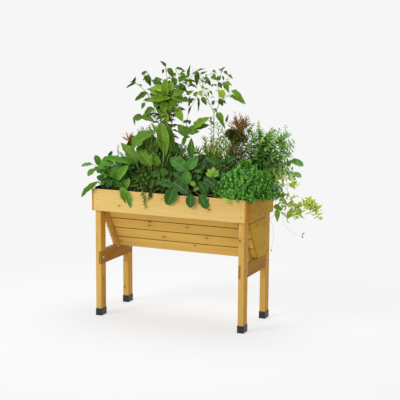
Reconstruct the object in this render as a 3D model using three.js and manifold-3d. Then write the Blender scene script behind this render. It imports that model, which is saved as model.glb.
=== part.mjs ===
// Elevated planter: a wooden trough with a sloping front on four legs, lined with black fabric, filled with
// potting soil and planted with peppers, chard, strawberries and herbs.
// Millimetres. +X to the right, +Y to the rear, +Z up. The origin is under the middle of the front left foot.
import * as THREE from 'three';
import { mergeVertices } from 'three/addons/utils/BufferGeometryUtils.js';
import Module from 'manifold-3d';

const wasm = await Module();
wasm.setup();

// Fits
const seatGap = 0.3; // left between two pieces that rest on each other
const holeClearance = 0.4; // round a bolt

// Legs and foot caps
const legsAcross = 966; // over the outer sides of the left and right legs
const legsDeep = 416; // over the front and rear faces of the legs
const legWidth = 35;
const legDepth = 60;
const legTop = 730;
const capWall = 3;
const capFloor = 4;
const capHeight = 43;
const capCorner = 4;

// Crossbars, as thick as the legs between them and halved into the inner sides of the legs
const barBottom = 321;
const barHeight = 80;
const barLap = 15; // thickness of a halved end

// Bolts, washers and nuts
const boltRadius = 4;
const boltHeadRadius = 10;
const boltHeadHeight = 5;
const socketRadius = 4.2;
const socketDepth = 3;
const washerRadius = 13;
const washerThickness = 1.8;
const nutRadius = 8.5;
const nutHeight = 6.5;
const boltEnd = 2.5; // what stands out of the nut
const roundSides = 14;

// Rim boards
const rimRise = 54; // above the tops of the legs
const rimHeight = 132;
const rimThickness = 12;
const rimStandOff = 5; // between the legs and the side boards
const boardEase = 1.5; // chamfer along a board's long edges

// Front and back panels of lapped boards
const panelBoards = 5;
const panelThickness = 16;
const panelOverhang = 27; // past the inner side of a leg, at each end of the sloping panel
const lapHeight = 9;
const lapGap = 0.6;
const grooveChamfer = 3;
const battenWidth = 26;
const battenThickness = 18;
const battenFoot = 5; // above the panel's lower edge
const battenHead = 60; // below the sloping panel's upper edge
const frontFoot = 2; // Y of the sloping panel's outer lower edge, from the middle of the legs
const notchClear = 4; // between the sloping panel's ends and the rear of a front leg

// Floor boards and end panels
const floorThickness = 12;
const floorBoards = 2;
const drainGap = 6;
const endThickness = 12;
const endSeam = 100; // from the top of an end panel down to the seam between its boards
const joinerSize = 20;

// Liner and soil
const linerThickness = 1.6;
const linerDrop = 4; // its edge, below the rim
const soilDrop = 24; // below the rim

// Derived places
const legOuter = legsAcross / 2;
const legInner = legOuter - legWidth;
const legFront = legsDeep / 2;
const legMiddle = legFront - legDepth / 2;
const legBottom = capFloor + seatGap;
const rimTop = legTop + rimRise;
const linerTop = rimTop - linerDrop;
const soilTop = rimTop - soilDrop;
const barTop = barBottom + barHeight;
const barMiddle = barBottom + barHeight / 2;
const rimHalfLength = legOuter + rimStandOff + rimThickness;
const rimHalfDepth = legFront + seatGap + rimThickness;
const panelBottom = barTop + seatGap;
const backFace = legFront - legDepth - seatGap; // outer face of the back panel
const backInner = backFace - panelThickness;
const frontRise = legTop - panelBottom;
const frontRun = frontFoot + legFront; // from the foot of the sloping panel to the front of the front legs
const slope = Math.atan(frontRun / frontRise);
const slopeLength = Math.hypot(frontRun, frontRise);
const panelAcross = panelThickness / Math.cos(slope); // the sloping panel's thickness measured along Y
const notchHeight = panelBottom + (frontFoot + backFace - notchClear) / Math.tan(slope); // of the panel at the legs
const betweenLegs = legInner - seatGap;
const endInner = legOuter - endThickness;
const floorTop = panelBottom + floorThickness;

// Finishes
const softwood = { color: 0xd9ae63, roughness: 0.62, metalness: 0 };
const shadedSoftwood = { color: 0xc0903f, roughness: 0.66, metalness: 0 };
const blackPlastic = { color: 0x26282b, roughness: 0.55, metalness: 0 };
const zincSteel = { color: 0xb9bcc0, roughness: 0.35, metalness: 1 };
const blackFabric = { color: 0x111214, roughness: 0.95, metalness: 0 };
const pottingSoil = { color: 0x2e2118, roughness: 1, metalness: 0 };
const leafGreen = (color) => ({ color, roughness: 0.5, metalness: 0 });

const planter = new THREE.Group();

function addPiece(parent, name, geometry, finish) {
  const piece = new THREE.Mesh(geometry, new THREE.MeshStandardMaterial(finish));
  piece.name = name;
  parent.add(piece);
  return piece;
}

// Solids, and the joins and cuts between them

function toSolid(geometry) {
  const plain = geometry.index ? geometry.toNonIndexed() : geometry.clone();
  for (const name of Object.keys(plain.attributes)) {
    if (name !== 'position') plain.deleteAttribute(name);
  }
  const merged = mergeVertices(plain, 1e-4);
  return new wasm.Manifold(new wasm.Mesh({
    numProp: 3,
    vertProperties: Float32Array.from(merged.attributes.position.array),
    triVerts: Uint32Array.from(merged.index.array),
  }));
}

function toGeometry(solid) {
  const mesh = solid.getMesh();
  const geometry = new THREE.BufferGeometry();
  geometry.setAttribute('position', new THREE.BufferAttribute(mesh.vertProperties, 3));
  geometry.setIndex(new THREE.BufferAttribute(mesh.triVerts, 1));
  geometry.computeVertexNormals();
  return geometry;
}

const join = (solids) => solids.reduce((whole, next) => whole.add(next));
const cut = (solid, tools) => tools.reduce((rest, tool) => rest.subtract(tool), solid);

function box(low, high) {
  const size = high.map((value, axis) => value - low[axis]);
  const middle = high.map((value, axis) => (value + low[axis]) / 2);
  return new THREE.BoxGeometry(...size).translate(...middle);
}

// An outline of [y, z] points, extruded along X from x0 to x1.
function prismAlongX(outline, x0, x1) {
  const shape = new THREE.Shape(outline.map(([y, z]) => new THREE.Vector2(y, z)));
  const prism = new THREE.ExtrudeGeometry(shape, { depth: x1 - x0, bevelEnabled: false });
  const axes = new THREE.Matrix4().makeBasis(
    new THREE.Vector3(0, 1, 0), new THREE.Vector3(0, 0, 1), new THREE.Vector3(1, 0, 0));
  return prism.applyMatrix4(axes).translate(x0, 0, 0);
}

// An outline of [x, z] points, extruded along Y over the given length and centred on it.
function prismAlongY(outline, length) {
  const shape = new THREE.Shape(outline.map(([x, z]) => new THREE.Vector2(x, z)));
  const prism = new THREE.ExtrudeGeometry(shape, { depth: length, bevelEnabled: false });
  return prism.rotateX(Math.PI / 2).translate(0, length / 2, 0);
}

function cylinderAlongX(radius, x0, x1, y, z, sides = roundSides) {
  const cylinder = new THREE.CylinderGeometry(radius, radius, x1 - x0, sides);
  return cylinder.rotateZ(Math.PI / 2).translate((x0 + x1) / 2, y, z);
}

// A plank's section with eased corners, as [across, up] points from its lower near corner.
function easedOutline(thickness, height, ease = boardEase) {
  return [
    [ease, 0], [thickness - ease, 0], [thickness, ease], [thickness, height - ease],
    [thickness - ease, height], [ease, height], [0, height - ease], [0, ease],
  ];
}

// Leg frames. One is built for the left end, with its inner side at +X, and turned half round for the right.

function legGeometry() {
  const outer = -legWidth / 2;
  const inner = legWidth / 2;
  const notch = inner - barLap - seatGap;
  const outline = [
    [outer, legBottom], [inner, legBottom], [inner, barBottom - seatGap], [notch, barBottom - seatGap],
    [notch, barTop + seatGap], [inner, barTop + seatGap], [inner, legTop], [outer, legTop],
  ];
  const hole = cylinderAlongX(boltRadius + holeClearance, outer - 1, inner + 1, 0, barMiddle);
  return toGeometry(cut(toSolid(prismAlongY(outline, legDepth)), [toSolid(hole)]));
}

function capGeometry() {
  const wall = capWall + seatGap;
  const halfWidth = legWidth / 2 + wall;
  const halfDepth = legDepth / 2 + wall;
  const shape = new THREE.Shape();
  shape.moveTo(-halfWidth + capCorner, -halfDepth);
  shape.lineTo(halfWidth - capCorner, -halfDepth);
  shape.absarc(halfWidth - capCorner, -halfDepth + capCorner, capCorner, -Math.PI / 2, 0);
  shape.absarc(halfWidth - capCorner, halfDepth - capCorner, capCorner, 0, Math.PI / 2);
  shape.absarc(-halfWidth + capCorner, halfDepth - capCorner, capCorner, Math.PI / 2, Math.PI);
  shape.absarc(-halfWidth + capCorner, -halfDepth + capCorner, capCorner, Math.PI, 1.5 * Math.PI);
  const outer = new THREE.ExtrudeGeometry(shape, { depth: capHeight, bevelEnabled: false, curveSegments: 3 });
  const pocket = box(
    [-legWidth / 2 - seatGap, -legDepth / 2 - seatGap, capFloor],
    [legWidth / 2 + seatGap, legDepth / 2 + seatGap, capHeight + 1]);
  return toGeometry(cut(toSolid(outer), [toSolid(pocket)]));
}

function barGeometry() {
  const lap = prismAlongX(easedOutline(legsDeep, barHeight, seatGap), -barLap, 0);
  lap.translate(0, -legsDeep / 2, barBottom);
  const thick = box([-legWidth, -backFace, barBottom], [-barLap / 2, backFace, barTop]);
  const holes = [-legMiddle, legMiddle].map((y) => toSolid(
    cylinderAlongX(boltRadius + holeClearance, -barLap - 1, 1, y, barMiddle)));
  return toGeometry(cut(join([toSolid(lap), toSolid(thick)]), holes));
}

// A round-headed bolt along X: its head is at +X, and its shank runs to -X from the seat of the head.
function boltGeometry() {
  const length = legWidth + 3 * seatGap + washerThickness + nutHeight + boltEnd;
  const profile = [
    [0, -length], [boltRadius, -length], [boltRadius, 0], [boltHeadRadius, 0],
    [boltHeadRadius * 0.86, boltHeadHeight * 0.55], [boltHeadRadius * 0.52, boltHeadHeight], [0, boltHeadHeight],
  ];
  const bolt = new THREE.LatheGeometry(profile.map(([r, h]) => new THREE.Vector2(r, h)), roundSides);
  const socket = new THREE.CylinderGeometry(socketRadius, socketRadius, socketDepth + 1, 6);
  socket.translate(0, boltHeadHeight - socketDepth / 2 + 0.5, 0);
  const solid = cut(toSolid(bolt), [toSolid(socket)]);
  return toGeometry(solid).rotateZ(-Math.PI / 2);
}

function ringAlongX(outerRadius, thickness, sides) {
  const ring = cylinderAlongX(outerRadius, 0, thickness, 0, 0, sides);
  const hole = cylinderAlongX(boltRadius + seatGap, -1, thickness + 1, 0, 0);
  return toGeometry(cut(toSolid(ring), [toSolid(hole)]));
}

function addLegFrame(side, turn) {
  const frame = new THREE.Group();
  frame.rotation.z = turn;
  planter.add(frame);
  const ends = side === 'left' ? ['front', 'rear'] : ['rear', 'front'];
  const legX = -legOuter + legWidth / 2;
  ends.forEach((end, index) => {
    const y = index === 0 ? -legMiddle : legMiddle;
    addPiece(frame, `${end}_${side}_leg`, legGeometry(), softwood).position.set(legX, y, 0);
    addPiece(frame, `${end}_${side}_foot_cap`, capGeometry(), blackPlastic).position.set(legX, y, 0);
    const washerX = -legOuter - seatGap - washerThickness;
    addPiece(frame, `${end}_${side}_bolt`, boltGeometry(), zincSteel)
      .position.set(-legInner + seatGap, y, barMiddle);
    addPiece(frame, `${end}_${side}_washer`, ringAlongX(washerRadius, washerThickness, roundSides), zincSteel)
      .position.set(washerX, y, barMiddle);
    addPiece(frame, `${end}_${side}_nut`, ringAlongX(nutRadius, nutHeight, 6), zincSteel)
      .position.set(washerX - seatGap - nutHeight, y, barMiddle);
  });
  addPiece(frame, `${side}_crossbar`, barGeometry(), shadedSoftwood)
    .position.set(-legInner, 0, 0);
}

// Rim boards. The side boards cover the ends of the front and rear boards.

function addRim() {
  const halfLength = legOuter + rimStandOff - seatGap;
  const outline = easedOutline(rimThickness, rimHeight);
  for (const [name, turn] of [['front_rim_board', 0], ['rear_rim_board', Math.PI]]) {
    const holder = new THREE.Group();
    holder.rotation.z = turn;
    planter.add(holder);
    addPiece(holder, name, prismAlongX(outline, -halfLength, halfLength), softwood)
      .position.set(0, -rimHalfDepth, rimTop - rimHeight);
  }
  for (const [name, turn] of [['right_rim_board', Math.PI / 2], ['left_rim_board', -Math.PI / 2]]) {
    const holder = new THREE.Group();
    holder.rotation.z = turn;
    planter.add(holder);
    addPiece(holder, name, prismAlongX(outline, -rimHalfDepth, rimHalfDepth), shadedSoftwood)
      .position.set(0, -rimHalfLength, rimTop - rimHeight);
  }
}

// Panels of lapped boards. In a panel's own frame, x runs along the boards, y from the outer face inwards and
// z up the panel. The lowest and highest boards are cut level, which a lean of the panel asks for.
function lappedOutline(height, lowest, highest, lean) {
  const middle = panelThickness / 2;
  const level = panelThickness * Math.tan(lean);
  const top = height - lapGap;
  const outline = [[grooveChamfer, 0]];
  if (lowest) outline.push([panelThickness, -level]);
  else outline.push([middle, 0], [middle, lapHeight], [panelThickness, lapHeight]);
  if (highest) outline.push([panelThickness, height - level], [grooveChamfer, height - level * grooveChamfer / panelThickness]);
  else {
    outline.push([panelThickness, top + lapHeight - lapGap], [middle + lapGap, top + lapHeight - lapGap]);
    outline.push([middle + lapGap, top], [grooveChamfer, top]);
  }
  outline.push([0, (highest ? height : top) - grooveChamfer], [0, grooveChamfer]);
  return outline;
}

// Above notchAt, measured up the panel, its boards only reach from leg to leg.
function addLappedPanel(name, height, lean, panel, half, notchAt, battenTop) {
  const pitch = height / panelBoards;
  for (let board = 0; board < panelBoards; board += 1) {
    const low = board * pitch;
    const outline = lappedOutline(pitch, board === 0, board === panelBoards - 1, lean);
    const reach = low > notchAt - pitch / 3 ? betweenLegs : half;
    const plank = toSolid(prismAlongX(outline, -reach, reach));
    const notches = [-half - betweenLegs - 1, betweenLegs].map((x) => toSolid(
      box([x, -panelThickness, notchAt - low], [x + half + 1, 2 * panelThickness, 2 * height])));
    addPiece(panel, `${name}_board_${board + 1}`, toGeometry(cut(plank, notches)), softwood).position.z = low;
  }
  for (const [side, x] of [['left', -betweenLegs], ['right', betweenLegs - battenWidth]]) {
    const batten = box([x, -battenThickness - seatGap, battenFoot], [x + battenWidth, -seatGap, battenTop]);
    addPiece(panel, `${name}_batten_${side}`, batten, softwood);
  }
}

function addPanels() {
  const front = new THREE.Group();
  front.position.set(0, frontFoot, panelBottom);
  front.rotation.x = slope;
  planter.add(front);
  const notchAt = (notchHeight - panelBottom) / Math.cos(slope);
  const overhang = legInner + panelOverhang;
  addLappedPanel('front_panel', slopeLength, slope, front, overhang, notchAt, slopeLength - battenHead);
  const back = new THREE.Group();
  back.position.set(0, backFace, panelBottom);
  back.rotation.z = Math.PI;
  planter.add(back);
  addLappedPanel('back_panel', frontRise, 0, back, legOuter, 2 * frontRise, frontRise);
}

// Y of the inner face of the sloping panel at height z, and what lies inset behind it.
function frontInnerAt(z, inset) {
  return frontFoot + panelAcross - (z - panelBottom) * Math.tan(slope) + inset / Math.cos(slope);
}

// The height at which the sloping panel's inner face, with what lies inset behind it, passes the front legs.
function kneeHeight(inset) {
  return panelBottom + (frontInnerAt(panelBottom, inset) + backFace - inset) / Math.tan(slope);
}

// An outline of a piece behind the sloping panel and the front legs, from z low to high.
function behindFront(low, high, rear, inset) {
  const knee = kneeHeight(inset);
  const outline = [[frontInnerAt(low, inset), low], [rear, low], [rear, high]];
  if (high > knee && low < knee) outline.push([inset - backFace, high], [inset - backFace, knee]);
  else if (low >= knee) return [[inset - backFace, low], [rear, low], [rear, high], [inset - backFace, high]];
  else outline.push([frontInnerAt(high, inset), high]);
  return outline;
}

// Floor boards and end panels on the crossbars, and the joiners in the rear corners.
function addFloorAndEnds() {
  const floorFront = frontFoot + panelAcross + seatGap;
  const floorRear = backInner - seatGap;
  const width = (floorRear - floorFront - drainGap * (floorBoards - 1)) / floorBoards;
  const floorHalf = endInner - seatGap;
  for (let board = 0; board < floorBoards; board += 1) {
    const y = floorFront + board * (width + drainGap);
    const plank = box([-floorHalf, 0, 0], [floorHalf, width, floorThickness]);
    addPiece(planter, `floor_board_${board + 1}`, plank, softwood).position.set(0, y, panelBottom);
  }
  const bottom = floorTop + seatGap;
  const seam = legTop - endSeam;
  const rear = backInner - seatGap;
  for (const [side, x] of [['left', -legOuter], ['right', endInner]]) {
    for (const [part, low, high] of [['lower', panelBottom, seam - lapGap], ['upper', seam, legTop]]) {
      const outline = behindFront(low, high, rear, seatGap).map(([y, z]) => [y, z - low]);
      addPiece(planter, `${side}_end_board_${part}`, prismAlongX(outline, 0, endThickness), shadedSoftwood)
        .position.set(x, 0, low);
    }
    const joinerX = side === 'left' ? -endInner + seatGap : endInner - seatGap - joinerSize;
    const joiner = box([0, -joinerSize, 0], [joinerSize, 0, legTop - bottom]);
    addPiece(planter, `${side}_corner_joiner`, joiner, softwood).position.set(joinerX, rear, bottom);
  }
}

// The space of the trough and of the rim above it, drawn in by inset on every side and closed at the top.
function troughSpace(inset, top) {
  const bottom = floorTop + seatGap + inset;
  const shelf = legTop + seatGap + inset;
  const half = endInner - seatGap - inset;
  const rear = backInner - seatGap - inset;
  const narrow = betweenLegs - inset;
  const outline = [
    [frontInnerAt(bottom, seatGap + inset), bottom], [rear, bottom], [rear, shelf + 1],
    [frontInnerAt(shelf + 1, seatGap + inset), shelf + 1],
  ];
  const middle = toSolid(prismAlongX(outline, -narrow, narrow));
  const ends = toSolid(prismAlongX(behindFront(bottom, shelf + 1, rear, seatGap + inset), -half, half));
  const trough = join([middle, ends]);
  const trayHalf = legOuter + rimStandOff - seatGap - inset;
  const trayDepth = legFront - inset;
  const tray = toSolid(box([-trayHalf, -trayDepth, shelf], [trayHalf, trayDepth, top]));
  const grow = seatGap + inset;
  const joiners = [-1, 1].map((side) => {
    const outer = side * (endInner + 1);
    const inner = side * (endInner - seatGap - joinerSize - grow);
    return toSolid(box(
      [Math.min(outer, inner), backInner - seatGap - joinerSize - grow, floorTop],
      [Math.max(outer, inner), backInner + 1, shelf]));
  });
  return cut(trough, joiners).add(tray);
}

function addLinerAndSoil() {
  const hollow = troughSpace(linerThickness, rimTop);
  addPiece(planter, 'liner', toGeometry(troughSpace(0, linerTop).subtract(hollow)), blackFabric);
  addPiece(planter, 'potting_soil', toGeometry(troughSpace(linerThickness + seatGap, soilTop)), pottingSoil);
}

// Plants. Each grows from its root, a place on the soil given as shares of the tray's half length and depth,
// and its points are measured from there. Its dense part is a set of mounds and its outer leaves stand singly.

const leafPlate = 6; // thickness of a leaf in these solids
const stemRadius = 4;
const stemSides = 4;
const leafRoll = 0.9; // how far leaves turn about their own length, to one side and the other by turns
const goldenAngle = Math.PI * (3 - Math.sqrt(5));
const up = new THREE.Vector3(0, 0, 1);

function tube(points, radius) {
  const path = new THREE.CatmullRomCurve3(points.map((point) => new THREE.Vector3(...point)));
  const section = new THREE.Shape();
  for (let side = 0; side < stemSides; side += 1) {
    const turn = side * 2 * Math.PI / stemSides;
    if (side === 0) section.moveTo(radius, 0);
    else section.lineTo(radius * Math.cos(turn), radius * Math.sin(turn));
  }
  const steps = 2 * (points.length - 1);
  return toSolid(new THREE.ExtrudeGeometry(section, { steps, extrudePath: path, bevelEnabled: false }));
}

// A flat pointed plate from its foot along a direction, rolled about that direction from lying flat.
function leaf(foot, direction, length, width, roll, grow) {
  const along = direction.clone().normalize();
  const across = new THREE.Vector3().crossVectors(up, along);
  if (across.lengthSq() < 1e-6) across.set(1, 0, 0);
  across.normalize().applyAxisAngle(along, roll);
  const normal = new THREE.Vector3().crossVectors(along, across);
  const middle = foot.clone().addScaledVector(along, length * 0.46);
  const place = new THREE.Matrix4().makeBasis(along, across, normal).setPosition(middle);
  const plate = new THREE.OctahedronGeometry(1).scale(length / 2 + grow, width / 2 + grow, leafPlate / 2 + grow);
  return toSolid(plate.applyMatrix4(place));
}

// A stem through its points with leaves up it, each a golden angle round from the last.
function leafyStem({ points, leaves, length, width, from = 0.3, lift = 0.35 }, grow) {
  const path = new THREE.CatmullRomCurve3(points.map((point) => new THREE.Vector3(...point)));
  const solids = [tube(points, stemRadius + grow)];
  for (let index = 0; index < leaves; index += 1) {
    const share = from + (1 - from) * (index + 0.5) / leaves;
    const turn = index * goldenAngle;
    const direction = new THREE.Vector3(Math.cos(turn), Math.sin(turn), lift);
    const roll = index % 2 === 0 ? leafRoll : -leafRoll;
    solids.push(leaf(path.getPointAt(share), direction, length, width, roll, grow));
  }
  return solids;
}

// A leaf on a stalk from the root: its tip, its length and width, and how steeply it points up, in degrees.
function frond([x, y, z, length, width, pitch], grow) {
  const outward = new THREE.Vector3(x, y, 0).normalize();
  const rise = THREE.MathUtils.degToRad(pitch);
  const direction = outward.clone().multiplyScalar(Math.cos(rise)).setZ(Math.sin(rise));
  const foot = new THREE.Vector3(x, y, z).addScaledVector(direction, -length);
  const knee = foot.clone().multiply(new THREE.Vector3(0.4, 0.4, 0.75));
  const stalk = tube([[0, 0, 0], knee.toArray(), foot.toArray()], stemRadius + grow);
  return [stalk, leaf(foot, direction, length, width, leafRoll, grow)];
}

function mound([x, y, z, radiusX, radiusY, radiusZ], grow) {
  const ball = new THREE.SphereGeometry(1, 9, 6).rotateX(Math.PI / 2);
  return [toSolid(ball.scale(radiusX + grow, radiusY + grow, radiusZ + grow).translate(x, y, z))];
}

const builders = { stems: leafyStem, fronds: frond, mounds: mound };

const plants = [
  {
    name: 'tall_pepper_left',
    root: [-0.235, 0.05],
    finish: leafGreen(0x4f8a2c),
    stems: [
      {
        points: [[0, 0, 0], [4, 0, 248], [-12, 5, 488], [-45, 30, 738]],
        leaves: 18, length: 92, width: 42, from: 0.42,
      },
      {
        points: [[2, 0, 228], [40, 5, 408], [70, 15, 548], [112, 20, 638]],
        leaves: 13, length: 88, width: 40, from: 0.3,
      },
      {
        points: [[0, 0, 308], [-60, 5, 408], [-130, 10, 528], [-205, 10, 623]],
        leaves: 13, length: 88, width: 44, from: 0.2,
      },
    ],
    mounds: [[-42, 0, 553, 78, 62, 72]],
  },
  {
    name: 'tall_pepper_right',
    root: [0.37, 0.28],
    finish: leafGreen(0x5f9a34),
    stems: [
      {
        points: [[0, 0, 0], [-4, 2, 258], [0, 2, 468], [-50, 0, 578], [-95, 0, 678]],
        leaves: 14, length: 80, width: 34, from: 0.5,
      },
      { points: [[0, 2, 428], [28, 0, 548], [26, 0, 678]], leaves: 9, length: 74, width: 32, from: 0.25 },
      { points: [[28, 0, 528], [70, 0, 578], [92, 0, 628]], leaves: 5, length: 86, width: 38, from: 0.35 },
    ],
  },
  {
    name: 'trailing_herb',
    root: [0.93, 0.3],
    finish: leafGreen(0x9dc24a),
    stems: [
      {
        points: [[0, 0, 0], [50, 5, 44], [150, 5, 64], [250, 5, 4], [370, 10, -72]],
        leaves: 22, length: 44, width: 26, from: 0.35,
      },
      {
        points: [[40, 5, 38], [110, 0, 44], [130, 0, -22], [132, 0, -96]],
        leaves: 12, length: 42, width: 28, from: 0.4,
      },
      { points: [[110, 5, 60], [180, 15, 80], [250, 20, 72]], leaves: 9, length: 46, width: 26, from: 0.3 },
    ],
  },
  {
    name: 'bronze_herb',
    root: [0.6, 0.32],
    finish: leafGreen(0x6e4a26),
    stems: [
      { points: [[0, 0, 0], [6, 0, 190], [20, 0, 388], [50, 5, 458]], leaves: 10, length: 70, width: 26, lift: 1.1 },
      { points: [[10, 0, 318], [60, 0, 388], [102, 0, 424]], leaves: 4, length: 60, width: 24, lift: 1.1 },
    ],
    mounds: [[22, 0, 398, 48, 36, 62], [-30, 0, 318, 56, 40, 60]],
  },
  {
    name: 'chard',
    root: [-0.46, -0.25],
    finish: leafGreen(0x5d9a2e),
    fronds: [
      [-34, -40, 424, 190, 96, 74],
      [-150, -20, 336, 170, 84, 58],
      [140, -30, 324, 160, 84, 62],
      [72, 40, 458, 200, 92, 80],
      [-40, -110, 238, 130, 90, 38],
    ],
    mounds: [
      [0, 6, 108, 176, 96, 140],
      [-70, 10, 218, 96, 70, 104],
      [76, 14, 232, 104, 74, 118],
    ],
  },
  {
    name: 'round_leaved_greens',
    root: [-0.86, -0.48],
    finish: leafGreen(0x4c8f36),
    fronds: [
      [-172, -14, 154, 78, 66, 16],
      [-146, -38, 106, 84, 74, -4],
      [-108, 40, 196, 74, 58, 30],
      [-20, 62, 184, 110, 50, 8],
      [82, -30, 164, 96, 62, 24],
      [-148, -122, -6, 140, 52, -48],
      [-56, -118, 52, 84, 60, -30],
      [112, -124, 18, 104, 46, -52],
    ],
    mounds: [[-6, 0, 48, 118, 84, 92]],
  },
  {
    name: 'strawberry',
    root: [0.19, -0.6],
    finish: leafGreen(0x2d5f2a),
    fronds: [
      [-32, -30, 210, 96, 88, 30],
      [40, -60, 138, 88, 82, 6],
      [-128, -56, 84, 100, 76, -14],
      [-74, -112, 24, 92, 70, -58],
      [30, -112, 54, 84, 76, -40],
      [92, -108, 10, 84, 70, -60],
      [158, -106, 8, 86, 66, -56],
      [156, -30, 118, 96, 74, 12],
    ],
    mounds: [[10, 12, 48, 150, 92, 104]],
  },
  {
    name: 'parsley',
    root: [0.87, -0.42],
    finish: leafGreen(0x2f7d33),
    mounds: [
      [36, -20, 94, 172, 112, 122],
      [-92, -56, 54, 82, 62, 72],
      [150, 14, 40, 82, 92, 88],
      [22, -124, 40, 108, 46, 56],
    ],
  },
  {
    name: 'mint',
    root: [0.86, 0.6],
    finish: leafGreen(0x3f7f35),
    mounds: [
      [10, -10, 105, 114, 84, 124],
      [25, 0, 290, 84, 70, 98],
      [130, 5, 272, 106, 80, 128],
      [170, 0, 145, 68, 60, 76],
    ],
  },
  {
    name: 'narrow_leaved_herb',
    root: [0.2, 0.56],
    finish: leafGreen(0x86b04a),
    mounds: [
      [53, 0, 112, 132, 64, 122],
      [103, -6, 245, 80, 50, 90],
      [3, 0, 212, 80, 50, 72],
      [-97, 0, 122, 106, 62, 112],
      [-187, -16, 108, 115, 62, 126],
      [-357, -20, 92, 122, 70, 100],
    ],
  },
];

function plantSolid(plant, root, grow) {
  const solids = [];
  for (const [kind, build] of Object.entries(builders)) {
    for (const form of plant[kind] ?? []) solids.push(...build(form, grow));
  }
  return join(solids).translate(root);
}

// The rim, the liner and the soil, which every plant stays clear of.
function trayBody() {
  const clear = 0.5;
  const around = toSolid(box(
    [-rimHalfLength - clear, -rimHalfDepth - clear, 0], [rimHalfLength + clear, rimHalfDepth + clear, rimTop + clear]));
  const trayHalf = legOuter + rimStandOff - seatGap - linerThickness - clear;
  const trayDepth = legFront - linerThickness - clear;
  const hollow = toSolid(box([-trayHalf, -trayDepth, soilTop + seatGap], [trayHalf, trayDepth, rimTop + 1]));
  return around.subtract(hollow);
}

// A cut can part crumbs from a plant, and only its largest body is kept.
const largestBody = (solid) => solid.decompose().reduce((best, next) => (next.volume() > best.volume() ? next : best));

function addPlants() {
  const plantGap = 0.6;
  const taken = [trayBody()];
  for (const plant of plants) {
    const root = [plant.root[0] * legOuter, plant.root[1] * legFront, soilTop];
    const solid = largestBody(cut(plantSolid(plant, root, 0), taken));
    taken.push(plantSolid(plant, root, plantGap));
    const geometry = toGeometry(solid).translate(...root.map((value) => -value));
    addPiece(planter, plant.name, geometry, plant.finish).position.set(...root);
  }
}

addLegFrame('left', 0);
addLegFrame('right', Math.PI);
addRim();
addPanels();
addFloorAndEnds();
addLinerAndSoil();
addPlants();

planter.position.set(legOuter - legWidth / 2, legMiddle, 0);
const group = new THREE.Group();
group.add(planter);

export default group;
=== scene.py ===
"""Elevated planter: a wooden trough on four legs, lined, filled with soil and planted with peppers, chard,
strawberries and herbs. Metres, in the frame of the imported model."""
import math
from random import Random

import bpy
import numpy as np
from mathutils import Matrix, Vector, noise


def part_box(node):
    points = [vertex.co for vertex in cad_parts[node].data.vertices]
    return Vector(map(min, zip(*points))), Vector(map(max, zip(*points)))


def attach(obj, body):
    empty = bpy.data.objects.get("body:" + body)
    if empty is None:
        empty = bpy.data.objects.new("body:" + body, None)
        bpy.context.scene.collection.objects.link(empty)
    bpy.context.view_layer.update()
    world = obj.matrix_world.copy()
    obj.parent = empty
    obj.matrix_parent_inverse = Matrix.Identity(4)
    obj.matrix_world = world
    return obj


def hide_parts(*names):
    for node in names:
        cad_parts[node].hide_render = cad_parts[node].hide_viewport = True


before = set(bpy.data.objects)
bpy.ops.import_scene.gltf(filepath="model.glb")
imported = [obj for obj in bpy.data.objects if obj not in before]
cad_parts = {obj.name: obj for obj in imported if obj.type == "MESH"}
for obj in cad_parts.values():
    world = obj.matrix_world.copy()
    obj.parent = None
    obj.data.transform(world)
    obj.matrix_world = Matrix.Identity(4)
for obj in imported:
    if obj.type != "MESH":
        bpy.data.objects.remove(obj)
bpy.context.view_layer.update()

rim_low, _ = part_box("left_rim_board")
_, rim_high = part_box("right_rim_board")
soil_low, soil_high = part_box("potting_soil")
centre_x = (rim_low.x + rim_high.x) / 2
centre_y = (rim_low.y + rim_high.y) / 2
soil_top = soil_high.z
rim_top = rim_high.z
BODY = "root"

# Camera

IMAGE_SIZE = 400
FOCAL_PIXELS = 1144.5
SENSOR = 36.0
AZIMUTH = math.radians(23.72)
ELEVATION = math.radians(9.62)
ROLL = math.radians(0.37)
EYE_RIGHT = 2.8288  # of the planter's middle
EYE_FRONT = 6.1791
EYE_HEIGHT = 1.8705
EYE = Vector((centre_x + EYE_RIGHT, centre_y - EYE_FRONT, EYE_HEIGHT))

forward = Vector((
    -math.sin(AZIMUTH) * math.cos(ELEVATION), math.cos(AZIMUTH) * math.cos(ELEVATION), -math.sin(ELEVATION)))
level_right = Vector((math.cos(AZIMUTH), math.sin(AZIMUTH), 0))
level_up = level_right.cross(forward)
view_right = level_right * math.cos(ROLL) + level_up * math.sin(ROLL)
view_up = level_up * math.cos(ROLL) - level_right * math.sin(ROLL)


def make_camera():
    data = bpy.data.cameras.new("camera")
    data.sensor_width = SENSOR
    data.lens = FOCAL_PIXELS / IMAGE_SIZE * SENSOR
    camera = bpy.data.objects.new("camera", data)
    turn = Matrix((view_right, view_up, -forward)).transposed()
    camera.matrix_world = Matrix.Translation(EYE) @ turn.to_4x4()
    bpy.context.scene.collection.objects.link(camera)
    bpy.context.scene.camera = camera


def sight(u, v):
    """The direction in which the camera sees a pixel of the photograph."""
    middle = IMAGE_SIZE / 2
    return forward + view_right * ((u - middle) / FOCAL_PIXELS) - view_up * ((v - middle) / FOCAL_PIXELS)


def seen(u, v, depth):
    """The point seen at a pixel, at a depth in metres behind the planter's middle."""
    ray = sight(u, v)
    return EYE + ray * ((centre_y + depth - EYE.y) / ray.y)


def seen_line(pixels, depth):
    """The points seen at pixels, given as (u, v), all at one depth."""
    return [seen(u, v, depth) for u, v in pixels]


def beside(u, v):
    """The point seen at a pixel, just off the outer face of the right rim board."""
    gap = 0.002
    ray = sight(u, v)
    return EYE + ray * ((rim_high.x + gap - EYE.x) / ray.x)


def pixel_size(point):
    return (point - EYE).dot(forward) / FOCAL_PIXELS


# Materials

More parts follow.
